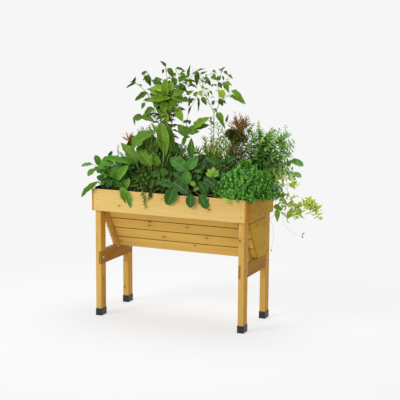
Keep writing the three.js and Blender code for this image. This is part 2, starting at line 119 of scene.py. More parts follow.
def linear(red, green, blue):
    """A colour written as it shows on a screen, from 0 to 255, as the shader wants it."""
    shares = [value / 255 for value in (red, green, blue)]
    return tuple(s / 12.92 if s <= 0.04045 else ((s + 0.055) / 1.055) ** 2.4 for s in shares) + (1.0,)


class Tree:
    """A short way to write a node tree."""

    def __init__(self, tree):
        self.tree = tree

    def link(self, value, socket):
        if isinstance(value, bpy.types.NodeSocket):
            self.tree.links.new(value, socket)
        else:
            socket.default_value = value

    def add(self, kind, inputs=None, **settings):
        node = self.tree.nodes.new(kind)
        for key, value in settings.items():
            setattr(node, key, value)
        for key, value in (inputs or {}).items():
            self.link(value, node.inputs[key])
        return node

    def math(self, operation, first, second=0.0, third=0.0):
        inputs = {0: first, 1: second, 2: third}
        return self.add("ShaderNodeMath", inputs, operation=operation).outputs[0]

    def vector(self, operation, first, second=(0, 0, 0), output="Vector"):
        return self.add("ShaderNodeVectorMath", {0: first, 1: second}, operation=operation).outputs[output]

    def blend(self, share, first, second):
        return self.add("ShaderNodeMixShader", {0: share, 1: first, 2: second}).outputs[0]


class Nodes(Tree):
    """A material and its node tree."""

    def __init__(self, name):
        self.material = bpy.data.materials.new(name)
        self.material.use_nodes = True
        super().__init__(self.material.node_tree)
        self.shader = self.tree.nodes["Principled BSDF"]

    def place(self):
        return self.add("ShaderNodeTexCoord").outputs["Object"]

    def component(self, vector, letter):
        return self.add("ShaderNodeSeparateXYZ", {0: vector}).outputs[letter]

    def facing(self, direction):
        """How far a face looks along a direction or against it, from 0 to 1."""
        normal = self.add("ShaderNodeNewGeometry").outputs["True Normal"]
        return self.math("ABSOLUTE", self.vector("DOT_PRODUCT", normal, direction, output="Value"))

    def noise(self, where, scale, detail=3.0, roughness=0.55, distortion=0.0):
        inputs = {"Vector": where, "Scale": scale, "Detail": detail, "Roughness": roughness}
        inputs["Distortion"] = distortion
        return self.add("ShaderNodeTexNoise", inputs).outputs["Fac"]

    def range(self, value, low, high, to_low=0.0, to_high=1.0):
        inputs = {"Value": value, "From Min": low, "From Max": high, "To Min": to_low, "To Max": to_high}
        return self.add("ShaderNodeMapRange", inputs, interpolation_type="SMOOTHSTEP").outputs["Result"]

    def mix(self, share, first, second, blend="MIX"):
        node = self.add("ShaderNodeMix", data_type="RGBA", blend_type=blend)
        self.link(share, node.inputs["Factor"])
        self.link(first, node.inputs[6])
        self.link(second, node.inputs[7])
        return node.outputs[2]

    def cover(self, colour, share, strength, over):
        """A colour with another over it, where share is 1 and as strongly as asked."""
        return self.mix(self.math("MULTIPLY", share, strength), colour, linear(*over))

    def bump(self, height, strength, distance):
        inputs = {"Height": height, "Strength": strength, "Distance": distance}
        self.link(self.add("ShaderNodeBump", inputs).outputs["Normal"], self.shader.inputs["Normal"])

    def set(self, **sockets):
        for key, value in sockets.items():
            self.link(value, self.shader.inputs[key.replace("_", " ").title().replace("Ior", "IOR")])


GRAIN_STRETCH = 16.0  # how much longer than wide the wood's figure is
KNOT_STRETCH = 0.62  # how much a distance along the grain counts, so that knots are longer that way
KNOT_SHARE = 0.88
RINGS = 5.0  # growth rings across one wave of the figure
SEAM_HALF = 0.0042  # half the height of the dark line along a joint: painted shade in the joint's groove, with dirt
# painted shade in the joints' grooves, with dirt
SEAM_SHADE_AND_DIRT_COLOUR = (112, 74, 26)
RESIN_COLOUR = (198, 128, 26)
RESIN_LENGTH = 0.02  # of the stained end of the right board
RESIN_FADE = 0.1
SIDE_SHADE_TINT = (246, 228, 158)  # painted shade: the darker, warmer tint of the faces that look along X, which lie in shade
AXES = {"X": 0, "Y": 1, "Z": 2}
SQUARE_ON = (0.9, 0.97)  # a face looks along an axis from here


def along_axis(axis, value, others):
    """A vector with one value along an axis and another along the other two."""
    return tuple(value if index == axis else others for index in range(3))


def knot_marks(n, place, axis, knots):
    """Where the knots are, and how far they push the rings aside. None for wood without knots."""
    marks = pushes = None
    for x, y, z, radius in knots:
        away = n.vector("SUBTRACT", place, (x, y, z))
        stretched = n.vector("MULTIPLY", away, along_axis(axis, KNOT_STRETCH, 1.0))
        distance = n.vector("LENGTH", stretched, output="Value")
        wobble = n.math("MULTIPLY_ADD", n.noise(place, 160.0, 2.0), radius * 0.7, distance)
        inside = n.range(wobble, radius * 0.75, radius * 1.7, 1.0, 0.0)
        halo = n.range(distance, radius, radius * 5.5, 1.0, 0.0)
        marks = inside if marks is None else n.math("MAXIMUM", marks, inside)
        pushes = halo if pushes is None else n.math("MAXIMUM", pushes, halo)
    return marks, pushes


def ring_lines(n, broad, streak, pushes):
    """The dark late wood of each growth ring."""
    bent = n.math("MULTIPLY_ADD", broad, 2.6, n.math("MULTIPLY", streak, 0.5))
    if pushes is not None:
        bent = n.math("MULTIPLY_ADD", pushes, 0.9, bent)
    rings = n.math("FRACT", n.math("MULTIPLY", bent, RINGS))
    return n.math("MULTIPLY", n.range(rings, 0.55, 0.95), n.range(rings, 0.96, 1.0, 1.0, 0.0))


def wood_material(name, along, colours, seed, knots=(), seams=(), warm_end=None):
    """Oiled softwood whose grain runs along an axis. knots are (x, y, z, radius), seams the heights of the
    joints it meets, and warm_end the place along Y up to which it is stained by resin."""
    n = Nodes(name)
    place = n.place()
    axis = AXES[along]
    rng = Random(seed)
    offset = tuple(rng.uniform(-9, 9) for _ in range(3))
    grain = n.vector("ADD", n.vector("MULTIPLY", place, along_axis(axis, 1 / GRAIN_STRETCH, 1.0)), offset)
    marks, pushes = knot_marks(n, place, axis, knots)
    broad = n.noise(grain, 9.0, 2.0, 0.5, 0.3)
    streak = n.noise(grain, 46.0, 4.0, 0.6, 0.2)
    fine = n.noise(grain, 260.0, 3.0, 0.65)
    line = ring_lines(n, broad, streak, pushes)

    light, dark, knot_colour, end_colour = (linear(*colour) for colour in colours)
    colour = n.mix(n.range(broad, 0.3, 0.72, 0.0, 0.6), light, dark)
    colour = n.mix(n.math("MULTIPLY", line, 0.34), colour, dark)
    colour = n.mix(n.range(streak, 0.35, 0.75, 0.0, 0.35), colour, light)
    colour = n.mix(n.range(fine, 0.58, 0.8, 0.0, 0.2), colour, dark)
    end = n.range(n.facing(along_axis(axis, 1.0, 0.0)), *SQUARE_ON)
    end_rings = n.range(n.noise(place, 90.0, 2.0, 0.5, 1.4), 0.42, 0.6, 0.35, 1.0)
    colour = n.mix(n.math("MULTIPLY", end, end_rings), colour, end_colour)
    if knots:
        colour = n.mix(n.math("MULTIPLY", pushes, 0.3), colour, dark)
        colour = n.mix(n.math("MULTIPLY", marks, KNOT_SHARE), colour, knot_colour)
    # painted shade along the joints between boards, with dirt in them
    for seam in seams:
        off = n.math("ABSOLUTE", n.math("SUBTRACT", n.component(place, "Z"), seam))
        colour = n.mix(n.range(off, SEAM_HALF * 0.5, SEAM_HALF, 0.8, 0.0), colour, linear(*SEAM_SHADE_AND_DIRT_COLOUR))
    if warm_end is not None:
        ragged = n.math("MULTIPLY_ADD", n.noise(place, 40.0, 2.0), 0.012, n.component(place, "Y"))
        stain = n.range(ragged, warm_end, warm_end + RESIN_FADE, 0.9, 0.0)
        colour = n.mix(stain, colour, linear(*RESIN_COLOUR))
    # painted shade: faces that look along X get a darker, warmer tint
    side_shaded = n.mix(1.0, colour, linear(*SIDE_SHADE_TINT), "MULTIPLY")
    colour = n.mix(n.range(n.facing((1.0, 0.0, 0.0)), *SQUARE_ON), colour, side_shaded)

    rough = n.range(n.math("MULTIPLY_ADD", line, 0.4, fine), 0.3, 1.1, 0.5, 0.7)
    n.set(base_color=colour, roughness=rough, specular_ior_level=0.2)
    n.bump(n.math("MULTIPLY_ADD", line, 0.8, fine), 0.32, 0.0006)
    return n.material


def plastic_material():
    n = Nodes("black_plastic")
    place = n.place()
    scuff = n.range(n.noise(place, 60.0, 4.0, 0.7, 0.6), 0.56, 0.7)
    colour = n.cover(linear(24, 26, 28), scuff, 0.45, (52, 54, 56))
    n.set(base_color=colour, roughness=n.range(scuff, 0.0, 1.0, 0.42, 0.66), specular_ior_level=0.5)
    n.bump(n.noise(place, 900.0, 2.0), 0.25, 0.0003)
    return n.material


def head_material(name, dark, light):
    n = Nodes(name)
    dull = n.noise(n.place(), 600.0, 2.0)
    n.set(base_color=n.mix(dull, linear(*dark), linear(*light)), metallic=0.4, roughness=0.62)
    n.bump(dull, 0.2, 0.0002)
    return n.material


def zinc_material():
    n = Nodes("zinc_plated_steel")
    place = n.place()
    cloud = n.noise(place, 240.0, 3.0, 0.6, 0.5)
    colour = n.mix(n.range(cloud, 0.35, 0.7), linear(196, 200, 204), linear(150, 153, 157))
    n.set(base_color=colour, metallic=1.0, roughness=n.range(cloud, 0.3, 0.7, 0.26, 0.48))
    n.bump(n.noise(place, 1500.0, 2.0), 0.15, 0.0002)
    return n.material


def fabric_material():
    n = Nodes("black_liner_fabric")
    place = n.place()
    threads, weft = (
        n.add("ShaderNodeTexWave", {"Vector": place, "Scale": 260.0, "Distortion": 1.2}, bands_direction=way)
        for way in "XZ")
    weave = n.math("MULTIPLY", threads.outputs["Fac"], weft.outputs["Fac"])
    dust = n.range(n.noise(place, 24.0, 4.0, 0.7), 0.5, 0.75)
    colour = n.cover(linear(15, 15, 16), weave, 0.5, (40, 40, 42))
    n.set(base_color=n.cover(colour, dust, 0.35, (62, 54, 44)), roughness=0.92, specular_ior_level=0.25)
    n.bump(weave, 0.5, 0.0006)
    return n.material


def soil_material():
    n = Nodes("moist_potting_soil")
    place = n.place()
    crumb = n.noise(place, 130.0, 5.0, 0.7, 0.4)
    fleck = n.range(n.noise(place, 330.0, 2.0), 0.66, 0.72)
    colour = n.mix(n.range(crumb, 0.3, 0.7), linear(22, 15, 9), linear(66, 48, 33))
    n.set(base_color=n.cover(colour, fleck, 0.8, (132, 110, 84)), roughness=0.95, specular_ior_level=0.2)
    n.bump(crumb, 0.9, 0.004)
    return n.material


LEAF_LOOKS = {  # dark, light, bright and vein colour, then what leaf_material asks for after them. The bright colour is painted light, the glow of leaves lit from behind, and the dark one is partly painted shade deep in the foliage
    "tall_pepper_leaf": ((38, 80, 20), (112, 152, 36), (176, 204, 58), (146, 176, 70), 0.4, 0.35, 7, 0.4, 1),
    "light_pepper_leaf": ((46, 84, 26), (126, 166, 48), (186, 214, 34), (150, 180, 88), 0.42, 0.3),
    "chard_leaf": ((42, 90, 20), (108, 150, 42), (160, 192, 80), (162, 190, 90), 0.4, 0.45, 6.0, 0.6, 1.6),
    "low_herb_leaf": ((40, 80, 28), (116, 158, 60), (162, 196, 88), (130, 160, 80), 0.5, 0.15),
    "round_leaf": ((32, 82, 24), (100, 158, 48), (160, 194, 84), (146, 186, 88), 0.42, 0.3),
    "orange_petal": ((178, 104, 40), (220, 158, 84), (230, 196, 110), (208, 160, 84), 0.5, 0.2),
    "strawberry_leaf": ((24, 66, 22), (78, 142, 44), (168, 208, 62), (142, 182, 98), 0.34, 0.45, 9.0, 0.6),
    "parsley_leaf": ((42, 112, 42), (136, 212, 84), (190, 236, 84), (150, 212, 96), 0.5, 0.15),
    "mint_leaf": ((54, 116, 52), (148, 200, 96), (196, 226, 118), (170, 208, 114), 0.42, 0.25, 5.0),
    "bronze_tip": ((130, 92, 40), (190, 140, 66), (218, 178, 92), (188, 148, 76), 0.5, 0.15),
    "bronze_under": ((60, 70, 28), (138, 150, 56), (184, 190, 80), (142, 144, 70), 0.5, 0.15),
    "narrow_leaf": ((54, 106, 30), (146, 188, 62), (212, 228, 100), (170, 200, 96), 0.45, 0.2),
    "trailing_leaf": ((112, 154, 40), (190, 220, 72), (232, 242, 122), (212, 228, 122), 0.42, 0.2),
}
STEM_LOOKS = {  # dark and light colour
    "pepper_stem": ((84, 112, 48), (150, 168, 92)),
    "light_pepper_stem": ((104, 130, 66), (178, 190, 128)),
    "chard_stem": ((118, 150, 66), (186, 200, 120)),
    "low_herb_stem": ((90, 104, 52), (168, 168, 108)),
    "greens_stem": ((96, 130, 60), (160, 180, 110)),
    "flower_stem": ((96, 130, 60), (160, 180, 110)),
    "strawberry_stem": ((96, 100, 50), (158, 136, 84)),
    "parsley_stem": ((60, 130, 52), (130, 170, 84)),
    "mint_stem": ((70, 84, 40), (130, 140, 84)),
    "bronze_stem": ((126, 84, 38), (184, 132, 66)),
    "bronze_under_stem": ((70, 60, 30), (120, 110, 60)),
    "narrow_stem": ((100, 124, 60), (170, 184, 110)),
    "trailing_stem": ((150, 170, 90), (198, 206, 140)),
}
LEAF_SHEEN = 0.16
RIB_SLANT = -1.1  # how the side ribs climb from the midrib


def leaf_material(name, dark, light, bright, vein, gloss, vein_share, ribs=7.0, blister=0.4, mottle=0.5):
    """A leaf's skin. Its UV runs across the leaf and along it. A tone of 0 is dark, 1 light and 2 bright:
    besides the leaves' own differences, low tones are painted shade inside the foliage and tones above 1 are
    painted light, the glow of leaves lit from behind.
    """
    n = Nodes(name)
    across, along, _ = n.add("ShaderNodeSeparateXYZ", {0: n.add("ShaderNodeTexCoord").outputs["UV"]}).outputs
    tone = n.add("ShaderNodeAttribute", attribute_name="tone").outputs["Fac"]
    patch = n.noise(n.place(), 90.0, 3.0, 0.6)
    aside = n.math("ABSOLUTE", n.math("SUBTRACT", across, 0.5))
    midrib = n.range(aside, 0.015, 0.06, 1.0, 0.0)
    slanted = n.math("MULTIPLY_ADD", aside, RIB_SLANT, along)
    rib = n.math("ABSOLUTE", n.math("SUBTRACT", n.math("FRACT", n.math("MULTIPLY", slanted, ribs)), 0.5))
    veins = n.math("MAXIMUM", midrib, n.range(rib, 0.03, 0.12, 0.55, 0.0))
    # painted light and shade: the tone brightens leaves lit from behind and darkens those deep in the foliage
    shade = n.math("MULTIPLY_ADD", patch, mottle, n.math("SUBTRACT", tone, mottle / 2))
    colour = n.mix(shade, linear(*dark), linear(*light))
    colour = n.mix(n.math("SUBTRACT", shade, 1.0), colour, linear(*bright))
    colour = n.cover(colour, veins, vein_share, vein)
    colour = n.cover(colour, n.range(aside, 0.4, 0.5), 0.25, vein)
    rough = n.range(patch, 0.3, 0.7, gloss, gloss + 0.15)
    n.set(base_color=colour, roughness=rough, specular_ior_level=LEAF_SHEEN)
    n.bump(n.math("MULTIPLY_ADD", veins, -1.0, patch), blister, 0.0015)
    return n.material


def stem_material(name, dark, light):
    n = Nodes(name)
    streak = n.noise(n.vector("MULTIPLY", n.place(), (1.0, 1.0, 0.2)), 300.0, 3.0)
    n.set(base_color=n.mix(streak, linear(*dark), linear(*light)), roughness=0.5, specular_ior_level=0.4)
    n.bump(streak, 0.3, 0.0004)
    return n.material


# Wooden pieces, whose solids stay and get their finish here. A wood is its light, dark, knot and end colours.

PALE_WOOD = ((232, 199, 122), (212, 168, 92), (120, 66, 24), (180, 124, 48))
LEG_WOOD = ((222, 182, 98), (192, 146, 62), (122, 70, 26), (188, 128, 56))
PANEL_WOOD = ((242, 200, 104), (210, 158, 64), (112, 62, 24), (204, 156, 82))
# painted shade: the side rim boards and end boards get a darker copy of the softwood's colours, as they lie
# in shade
SHADED_SIDE_WOOD = ((208, 176, 50), (178, 142, 24), (112, 62, 24), (194, 130, 34))
# painted shade: the crossbars get a darker copy of the softwood's colours, as they lie in shade under the
# trough
SHADED_BAR_WOOD = ((176, 134, 20), (148, 102, 10), (112, 62, 24), (168, 112, 40))
BATTEN_WOOD = ((210, 160, 84), (178, 122, 56), (112, 62, 26), (190, 132, 66))
WOODS = {  # by a part of a node's name: the axis of the grain and the colours. The first that fits counts
    "left_rim_board": ("Y", SHADED_SIDE_WOOD),
    "right_rim_board": ("Y", SHADED_SIDE_WOOD),
    "rim_board": ("X", PALE_WOOD),
    "panel_board": ("X", PANEL_WOOD),
    "floor_board": ("X", PANEL_WOOD),
    "_leg": ("Z", LEG_WOOD),
    "batten": ("Z", BATTEN_WOOD),
    "joiner": ("Z", BATTEN_WOOD),
    "crossbar": ("Y", SHADED_BAR_WOOD),
    "end_board": ("Y", SHADED_SIDE_WOOD),
}

KNOTS = {
    "front_rim_board": [
        (0.152, -0.042, 0.693, 0.0045), (0.737, -0.042, 0.715, 0.006), (0.432, -0.042, 0.754, 0.003)],
    "front_left_leg": [(0.018, 0.007, 0.077, 0.006), (0.018, -0.001, 0.223, 0.005)],
    "rear_left_leg": [(-0.005, 0.326, 0.273, 0.005), (-0.007, 0.326, 0.097, 0.005)],
    "front_right_leg": [(0.922, -0.03, 0.546, 0.006)],
    "right_end_board_lower": [(0.948, 0.29, 0.59, 0.005), (0.948, 0.17, 0.606, 0.005)],
    "right_end_board_upper": [(0.948, 0.24, 0.65, 0.005)],
    "right_rim_board": [(0.966, 0.166, 0.681, 0.006), (0.966, 0.08, 0.7, 0.005)],
    "rear_rim_board": [(0.21, 0.398, 0.7, 0.006), (0.7, 0.398, 0.722, 0.005)],
    "left_rim_board": [(-0.035, 0.24, 0.712, 0.006)],
    "back_panel_board_2": [(0.26, 0.326, 0.5, 0.006), (0.81, 0.326, 0.492, 0.005)],
    "back_panel_board_4": [(0.52, 0.326, 0.634, 0.006)],
    "rear_right_leg": [(0.949, 0.35, 0.42, 0.006)],
}
PANEL_KNOTS = {  # by the board's number: pixel and radius
    1: [(195, 245.4, 0.005), (121.5, 240.9, 0.004)],
    2: [(163.6, 230.4, 0.006), (164, 236.9, 0.006), (206.7, 238.1, 0.0065)],
    3: [(149.7, 221.6, 0.007), (149.7, 225.4, 0.0065), (185, 222.6, 0.0055), (187.4, 227.4, 0.0055)],
}
PANEL_BOARDS = 5
BATTEN_DEPTH = 0.0183  # from a batten's outer face to the panel's


def batten_face():
    """The lower and upper edge of the outer face of a sloping batten, as points in the plane x = 0."""
    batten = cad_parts["front_panel_batten_left"]
    ends = sorted({(round(v.co.z, 5), round(v.co.y, 5)) for v in batten.data.vertices})
    lower = min(ends[:2], key=lambda end: end[1])
    upper = min(ends[2:], key=lambda end: end[1])
    return Vector((0, lower[1], lower[0])), Vector((0, upper[1], upper[0]))


def panel_face():
    """The lower and upper edge of the sloping panel's outer face, as points in the plane x = 0."""
    foot, head = batten_face()
    inward = Vector((0, head.z - foot.z, foot.y - head.y)).normalized() * BATTEN_DEPTH
    return foot + inward, head + inward


def panel_knots(board):
    """The knots of one board of the sloping panel: where the sight lines meet its outer face."""
    foot, head = panel_face()
    normal = (head - foot).cross(Vector((1, 0, 0)))
    knots = []
    for u, v, radius in PANEL_KNOTS.get(board, ()):
        ray = sight(u, v)
        point = EYE + ray * ((foot - EYE).dot(normal) / ray.dot(normal))
        knots.append((*point, radius))
    return knots


def panel_seams():
    """The heights of the joints between the boards of a panel."""
    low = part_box("front_panel_board_1")[0].z
    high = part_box(f"front_panel_board_{PANEL_BOARDS}")[1].z
    return [low + (high - low) * board / PANEL_BOARDS for board in range(1, PANEL_BOARDS)]


def dress_wood(node, along, colours, seed):
    knots, seams, warm_end = KNOTS.get(node, ()), (), None
    if node == "right_rim_board":
        warm_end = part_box(node)[0].y + RESIN_LENGTH
    if "panel_board" in node:
        seams = panel_seams()
    if node.startswith("front_panel_board"):
        knots = panel_knots(int(node[-1]))
    if "end_board" in node:
        seams = [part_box("right_end_board_upper")[0].z]
    return wood_material(node + "_wood", along, colours, seed, knots, seams, warm_end)


def dress_frame():
    zinc = zinc_material()
    finishes = {
        "_foot_cap": plastic_material(), "_bolt": zinc, "_nut": zinc, "_washer": zinc,
        "potting_soil": soil_material()}
    for seed, (node, piece) in enumerate(sorted(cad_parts.items())):
        material = next((finish for part, finish in finishes.items() if node.endswith(part)), None)
        wood = next((wood for part, wood in WOODS.items() if part in node), None)
        if material is None and wood is not None:
            material = dress_wood(node, *wood, seed)
        if material is not None:
            piece.data.materials.clear()
            piece.data.materials.append(material)


# Meshes

def make_piece(name, points, faces, material, replaces=(), uvs=None, tones=None):
    mesh = bpy.data.meshes.new(name)
    mesh.from_pydata([tuple(p) for p in points], [], faces)
    if uvs is not None:
        corner = np.zeros(len(mesh.loops), np.int32)
        mesh.loops.foreach_get("vertex_index", corner)
        layer = mesh.uv_layers.new(name="leaf")
        layer.data.foreach_set("uv", np.asarray(uvs, np.float32)[corner].ravel())
    if tones is not None:
        attribute = mesh.attributes.new("tone", "FLOAT", "POINT")
        attribute.data.foreach_set("value", np.asarray(tones, np.float32))
    mesh.materials.append(material)
    mesh.shade_smooth()
    piece = bpy.data.objects.new(name, mesh)
    bpy.context.scene.collection.objects.link(piece)
    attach(piece, BODY)
    if replaces:
        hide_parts(*replaces)
    return piece


def grid_faces(rows, columns):
    """The quads of a grid of points that holds rows by columns cells."""
    faces = []
    for row in range(rows):
        for column in range(columns):
            first = row * (columns + 1) + column
            faces.append((first, first + 1, first + columns + 2, first + columns + 1))
    return faces


def ring_faces(first, around):
    """The quads between a ring of points and the next one."""
    faces = []
    for step in range(around):
        after = (step + 1) % around
        a, b = first + step, first + after
        faces.append((a, b, b + around, a + around))
    return faces


# Nails and screws

NAIL_RADIUS = 0.003
SCREW_RADIUS = 0.0042
HEAD_RISE = 0.0009
HEAD_SIDES = 10
HEAD_RINGS = ((1.0, 0.0), (0.8, 0.8), (0.0, 1.0))  # radius and rise
FRONT_NAILS = (0.674, 0.722)  # heights of those of the front and rear boards
FRONT_NAILS_LEFT = 0.003
FRONT_NAILS_RIGHT = 0.022  # from the board's right end
FRONT_NAILS_STEP = 0.009  # by which the front board's right ones are higher
SIDE_NAIL_EDGE = 0.0065  # of a side board's nails, to its ends
SIDE_NAIL_MARGIN = 0.022  # and to its long edges
END_NAIL_EDGE = 0.012
END_NAIL_DROP = 0.02
SCREWS = ((0.3, 0.35), (0.72, 0.62))  # share of a board's height and of the batten's width


def rim_nails():
    """The nails of the rim boards: each one's place and the way it faces."""
    places = []
    front = Vector((0, -1, 0))
    low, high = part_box("front_rim_board")
    _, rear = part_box("rear_rim_board")
    for height in FRONT_NAILS:
        for x, step in ((FRONT_NAILS_LEFT, 0), (high.x - FRONT_NAILS_RIGHT, FRONT_NAILS_STEP)):
            places.append((Vector((x, low.y, height + step)), front))
            places.append((Vector((x, rear.y, height)), -front))
    for board, sign in (("left_rim_board", -1), ("right_rim_board", 1)):
        low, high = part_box(board)
        x = low.x if sign < 0 else high.x
        for y in (low.y + SIDE_NAIL_EDGE, high.y - SIDE_NAIL_EDGE):
            for z in (low.z + SIDE_NAIL_MARGIN, (low.z + high.z) / 2, high.z - SIDE_NAIL_MARGIN):
                places.append((Vector((x, y, z)), Vector((sign, 0, 0))))
    return places


def end_nails():
    """The nails of the end panels, along the rear legs."""
    places = []
    for side, sign in (("left", -1), ("right", 1)):
        for part in ("lower", "upper"):
            low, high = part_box(f"{side}_end_board_{part}")
            x = low.x if sign < 0 else high.x
            for z in (high.z - END_NAIL_DROP, (low.z + high.z) / 2):
                places.append((Vector((x, high.y - END_NAIL_EDGE, z)), Vector((sign, 0, 0))))
    return places


def batten_screws():
    """Two screws for each board along each batten, on the face that looks away from the trough."""
    places = []
    foot, head = batten_face()
    drop = (head - foot).normalized()
    sloping = Vector((0, -drop.z, drop.y))
    for panel in ("front", "back"):
        for side in ("left", "right"):
            low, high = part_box(f"{panel}_panel_batten_{side}")
            for board in range(PANEL_BOARDS):
                for share, across in SCREWS:
                    up = (board + share) / PANEL_BOARDS
                    x = low.x + across * (high.x - low.x)
                    if panel == "front":
                        point = foot.lerp(head, up)
                        places.append((Vector((x, point.y, point.z)), sloping))
                    else:
                        places.append((Vector((x, high.y, low.z + up * (high.z - low.z))), Vector((0, 1, 0))))
    return places


def make_heads(name, places, width, material):
    points, faces = [], []
    for place, out in places:
        turn = out.to_track_quat("Z", "Y").to_matrix()
        start = len(points)
        for radius, rise in HEAD_RINGS:
            for side in range(HEAD_SIDES if radius else 1):
                angle = 2 * math.pi * side / HEAD_SIDES
                local = Vector((math.cos(angle) * radius, math.sin(angle) * radius, 0)) * width
                local.z = rise * HEAD_RISE
                points.append(place + turn @ local)
        top = start + 2 * HEAD_SIDES
        for a, b, c, d in ring_faces(start, HEAD_SIDES):
            faces.append((a, b, c, d))
            faces.append((d, c, top))
    make_piece(name, points, faces, material)


def make_fasteners():
    # painted shade: the heads are coloured darker than their bare zinc
    steel = head_material("shaded_nail_steel", (64, 56, 48), (124, 114, 102))
    make_heads("nail_heads", rim_nails() + end_nails(), NAIL_RADIUS, steel)
    dark = head_material("shaded_screw_steel", (36, 26, 18), (84, 66, 48))
    make_heads("batten_screws", batten_screws(), SCREW_RADIUS, dark)


# Soil and liner

SOIL_CELL = 0.009
SOIL_ROUGH = 0.004
SOIL_LUMPS = 30  # per metre
SOIL_INSET = 0.002
SOIL_RISE = 0.002


def make_soil_surface():
    low = soil_low + Vector((SOIL_INSET, SOIL_INSET, 0))
    high = soil_high - Vector((SOIL_INSET, SOIL_INSET, 0))
    columns = round((high.x - low.x) / SOIL_CELL)
    rows = round((high.y - low.y) / SOIL_CELL)
    points = []
    for row in range(rows + 1):
        for column in range(columns + 1):
            x = low.x + (high.x - low.x) * column / columns
            y = low.y + (high.y - low.y) * row / rows
            lump = noise.fractal(Vector((x, y, 0)) * SOIL_LUMPS, 1.0, 2.0, 4)
            points.append((x, y, soil_top + SOIL_RISE + SOIL_ROUGH * lump))
    make_piece("soil_surface", points, grid_faces(rows, columns), soil_material())


LINER_CREASE = 0.0022
LINER_RISE = 0.004  # its edge stands this far above the rim
LINER_CORNER_RISE = 0.007  # and this much more at the left end
LINER_CORNER = 0.16  # the length of that stretch
LINER_INSET = 0.001
LINER_GAP = 0.0015  # to the boards of the trough
LINER_SHELF_GAP = 0.0012  # to the tops of the legs
LINER_SHELF_BAND = 0.003  # under the shelf, where the top board of the sloping panel is measured
LINER_END_GAP = 0.002  # to the inner sides of the legs
LINER_STEPS = 240


def liner_rings():
    """The liner's rings from its edge down to the floor: height, left, right, front and rear of each."""
    low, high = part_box("liner")
    around = (low.x + LINER_INSET, high.x - LINER_INSET, low.y + LINER_INSET, high.y - LINER_INSET)
    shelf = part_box("front_left_leg")[1].z + LINER_SHELF_GAP
    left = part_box("front_left_leg")[1].x + LINER_END_GAP
    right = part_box("front_right_leg")[0].x - LINER_END_GAP
    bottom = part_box("floor_board_1")[1].z + LINER_GAP
    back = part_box("back_panel_board_3")[0].y - LINER_GAP
    top_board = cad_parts["front_panel_board_5"].data.vertices
    head = max(v.co.y for v in top_board if v.co.z > shelf - LINER_SHELF_BAND) + LINER_GAP
    foot = max(v.co.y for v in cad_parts["front_panel_board_1"].data.vertices) + LINER_GAP
    return [
        (rim_top + LINER_RISE, *around),
        ((high.z + shelf) / 2, *around),
        (shelf, *around),
        (shelf, left, right, head, back),
        ((shelf + bottom) / 2, left, right, (head + foot) / 2, back),
        (bottom, left, right, foot, back),
    ]


def round_rectangle(share, x0, x1, y0, y1):
    """A point on a rectangle's outline, at a share of the way round."""
    width, depth = x1 - x0, y1 - y0
    along = share * 2 * (width + depth)
    if along < width:
        return x0 + along, y0
    along -= width
    if along < depth:
        return x1, y0 + along
    along -= depth
    if along < width:
        return x1 - along, y1
    return x0, y1 - (along - width)


def make_liner():
    """The liner as a sewn sheet: its walls inside the rim, its shelf and the trough below."""
    points, faces = [], []
    rings = liner_rings()
    for level, (z, x0, x1, y0, y1) in enumerate(rings):
        for step in range(LINER_STEPS):
            x, y = round_rectangle(step / LINER_STEPS, x0, x1, y0, y1)
            crease = noise.noise(Vector((x * 14, y * 14, z * 20))) * LINER_CREASE
            inward = Vector(((x0 + x1) / 2 - x, (y0 + y1) / 2 - y, 0)).normalized()
            corner = LINER_CORNER_RISE * max(0.0, 1 - (x - x0) / LINER_CORNER)
            rise = crease * 1.2 + corner if level == 0 else 0.0
            loose = abs(crease) if level < 2 else 0.0
            points.append((x + inward.x * loose, y + inward.y * loose, z + rise))
        if level:
            faces += ring_faces((level - 1) * LINER_STEPS, LINER_STEPS)
    faces.append(tuple(range((len(rings) - 1) * LINER_STEPS, len(rings) * LINER_STEPS)))
    liner = make_piece("liner_sheet", points, faces, fabric_material(), ["liner"])


# Leaves and stems

def arch(v, lean, fullness):
    """A leaf's width along its length. The smaller the lean, the nearer its widest place is to the base."""
    return np.sin(np.pi * v ** lean) ** fullness


def oval(v):
    return arch(v, 0.8, 0.9)


def pointed(v):
    return arch(v, 0.62, 0.95)


def narrow(v):
    return arch(v, 0.85, 0.7)


def rounded(v):
    return np.sqrt(np.clip(1 - (2 * v - 1) ** 2, 0, 1)) ** 0.9


def toothed(v):
    return arch(v, 0.95, 0.62) * (1 + 0.09 * np.sign(np.sin(v * np.pi * 17)))


def scalloped(v):
    return arch(v, 0.8, 0.75) * (1 + 0.03 * np.cos(v * np.pi * 10))


def lobed(v):
    return arch(v, 0.75, 0.8) * (1 + 0.3 * np.cos(v * np.pi * 6))


class Blade:
    """A leaf of length and width 1 along +Y, facing +Z, as a grid of points."""

    def __init__(self, outline, rows, columns, fold, curl, wave=0.0):
        v = np.linspace(0, 1, rows + 1)[:, None]
        u = np.linspace(-1, 1, columns + 1)[None, :]
        half = np.maximum(outline(v), 0.012) / 2
        x = u * half
        y = np.broadcast_to(v, x.shape)
        ripple = wave * np.sin(v * 19 + u * 2.4) * np.abs(u) ** 1.5
        z = fold * np.abs(u) * half - curl * (v - 0.15) ** 2 + ripple * half * 2
        self.points = np.stack([x.ravel(), y.ravel(), z.ravel()], -1)
        self.uvs = np.stack([np.broadcast_to((u + 1) / 2, x.shape), y], -1).reshape(-1, 2)
        self.faces = np.array(grid_faces(rows, columns))


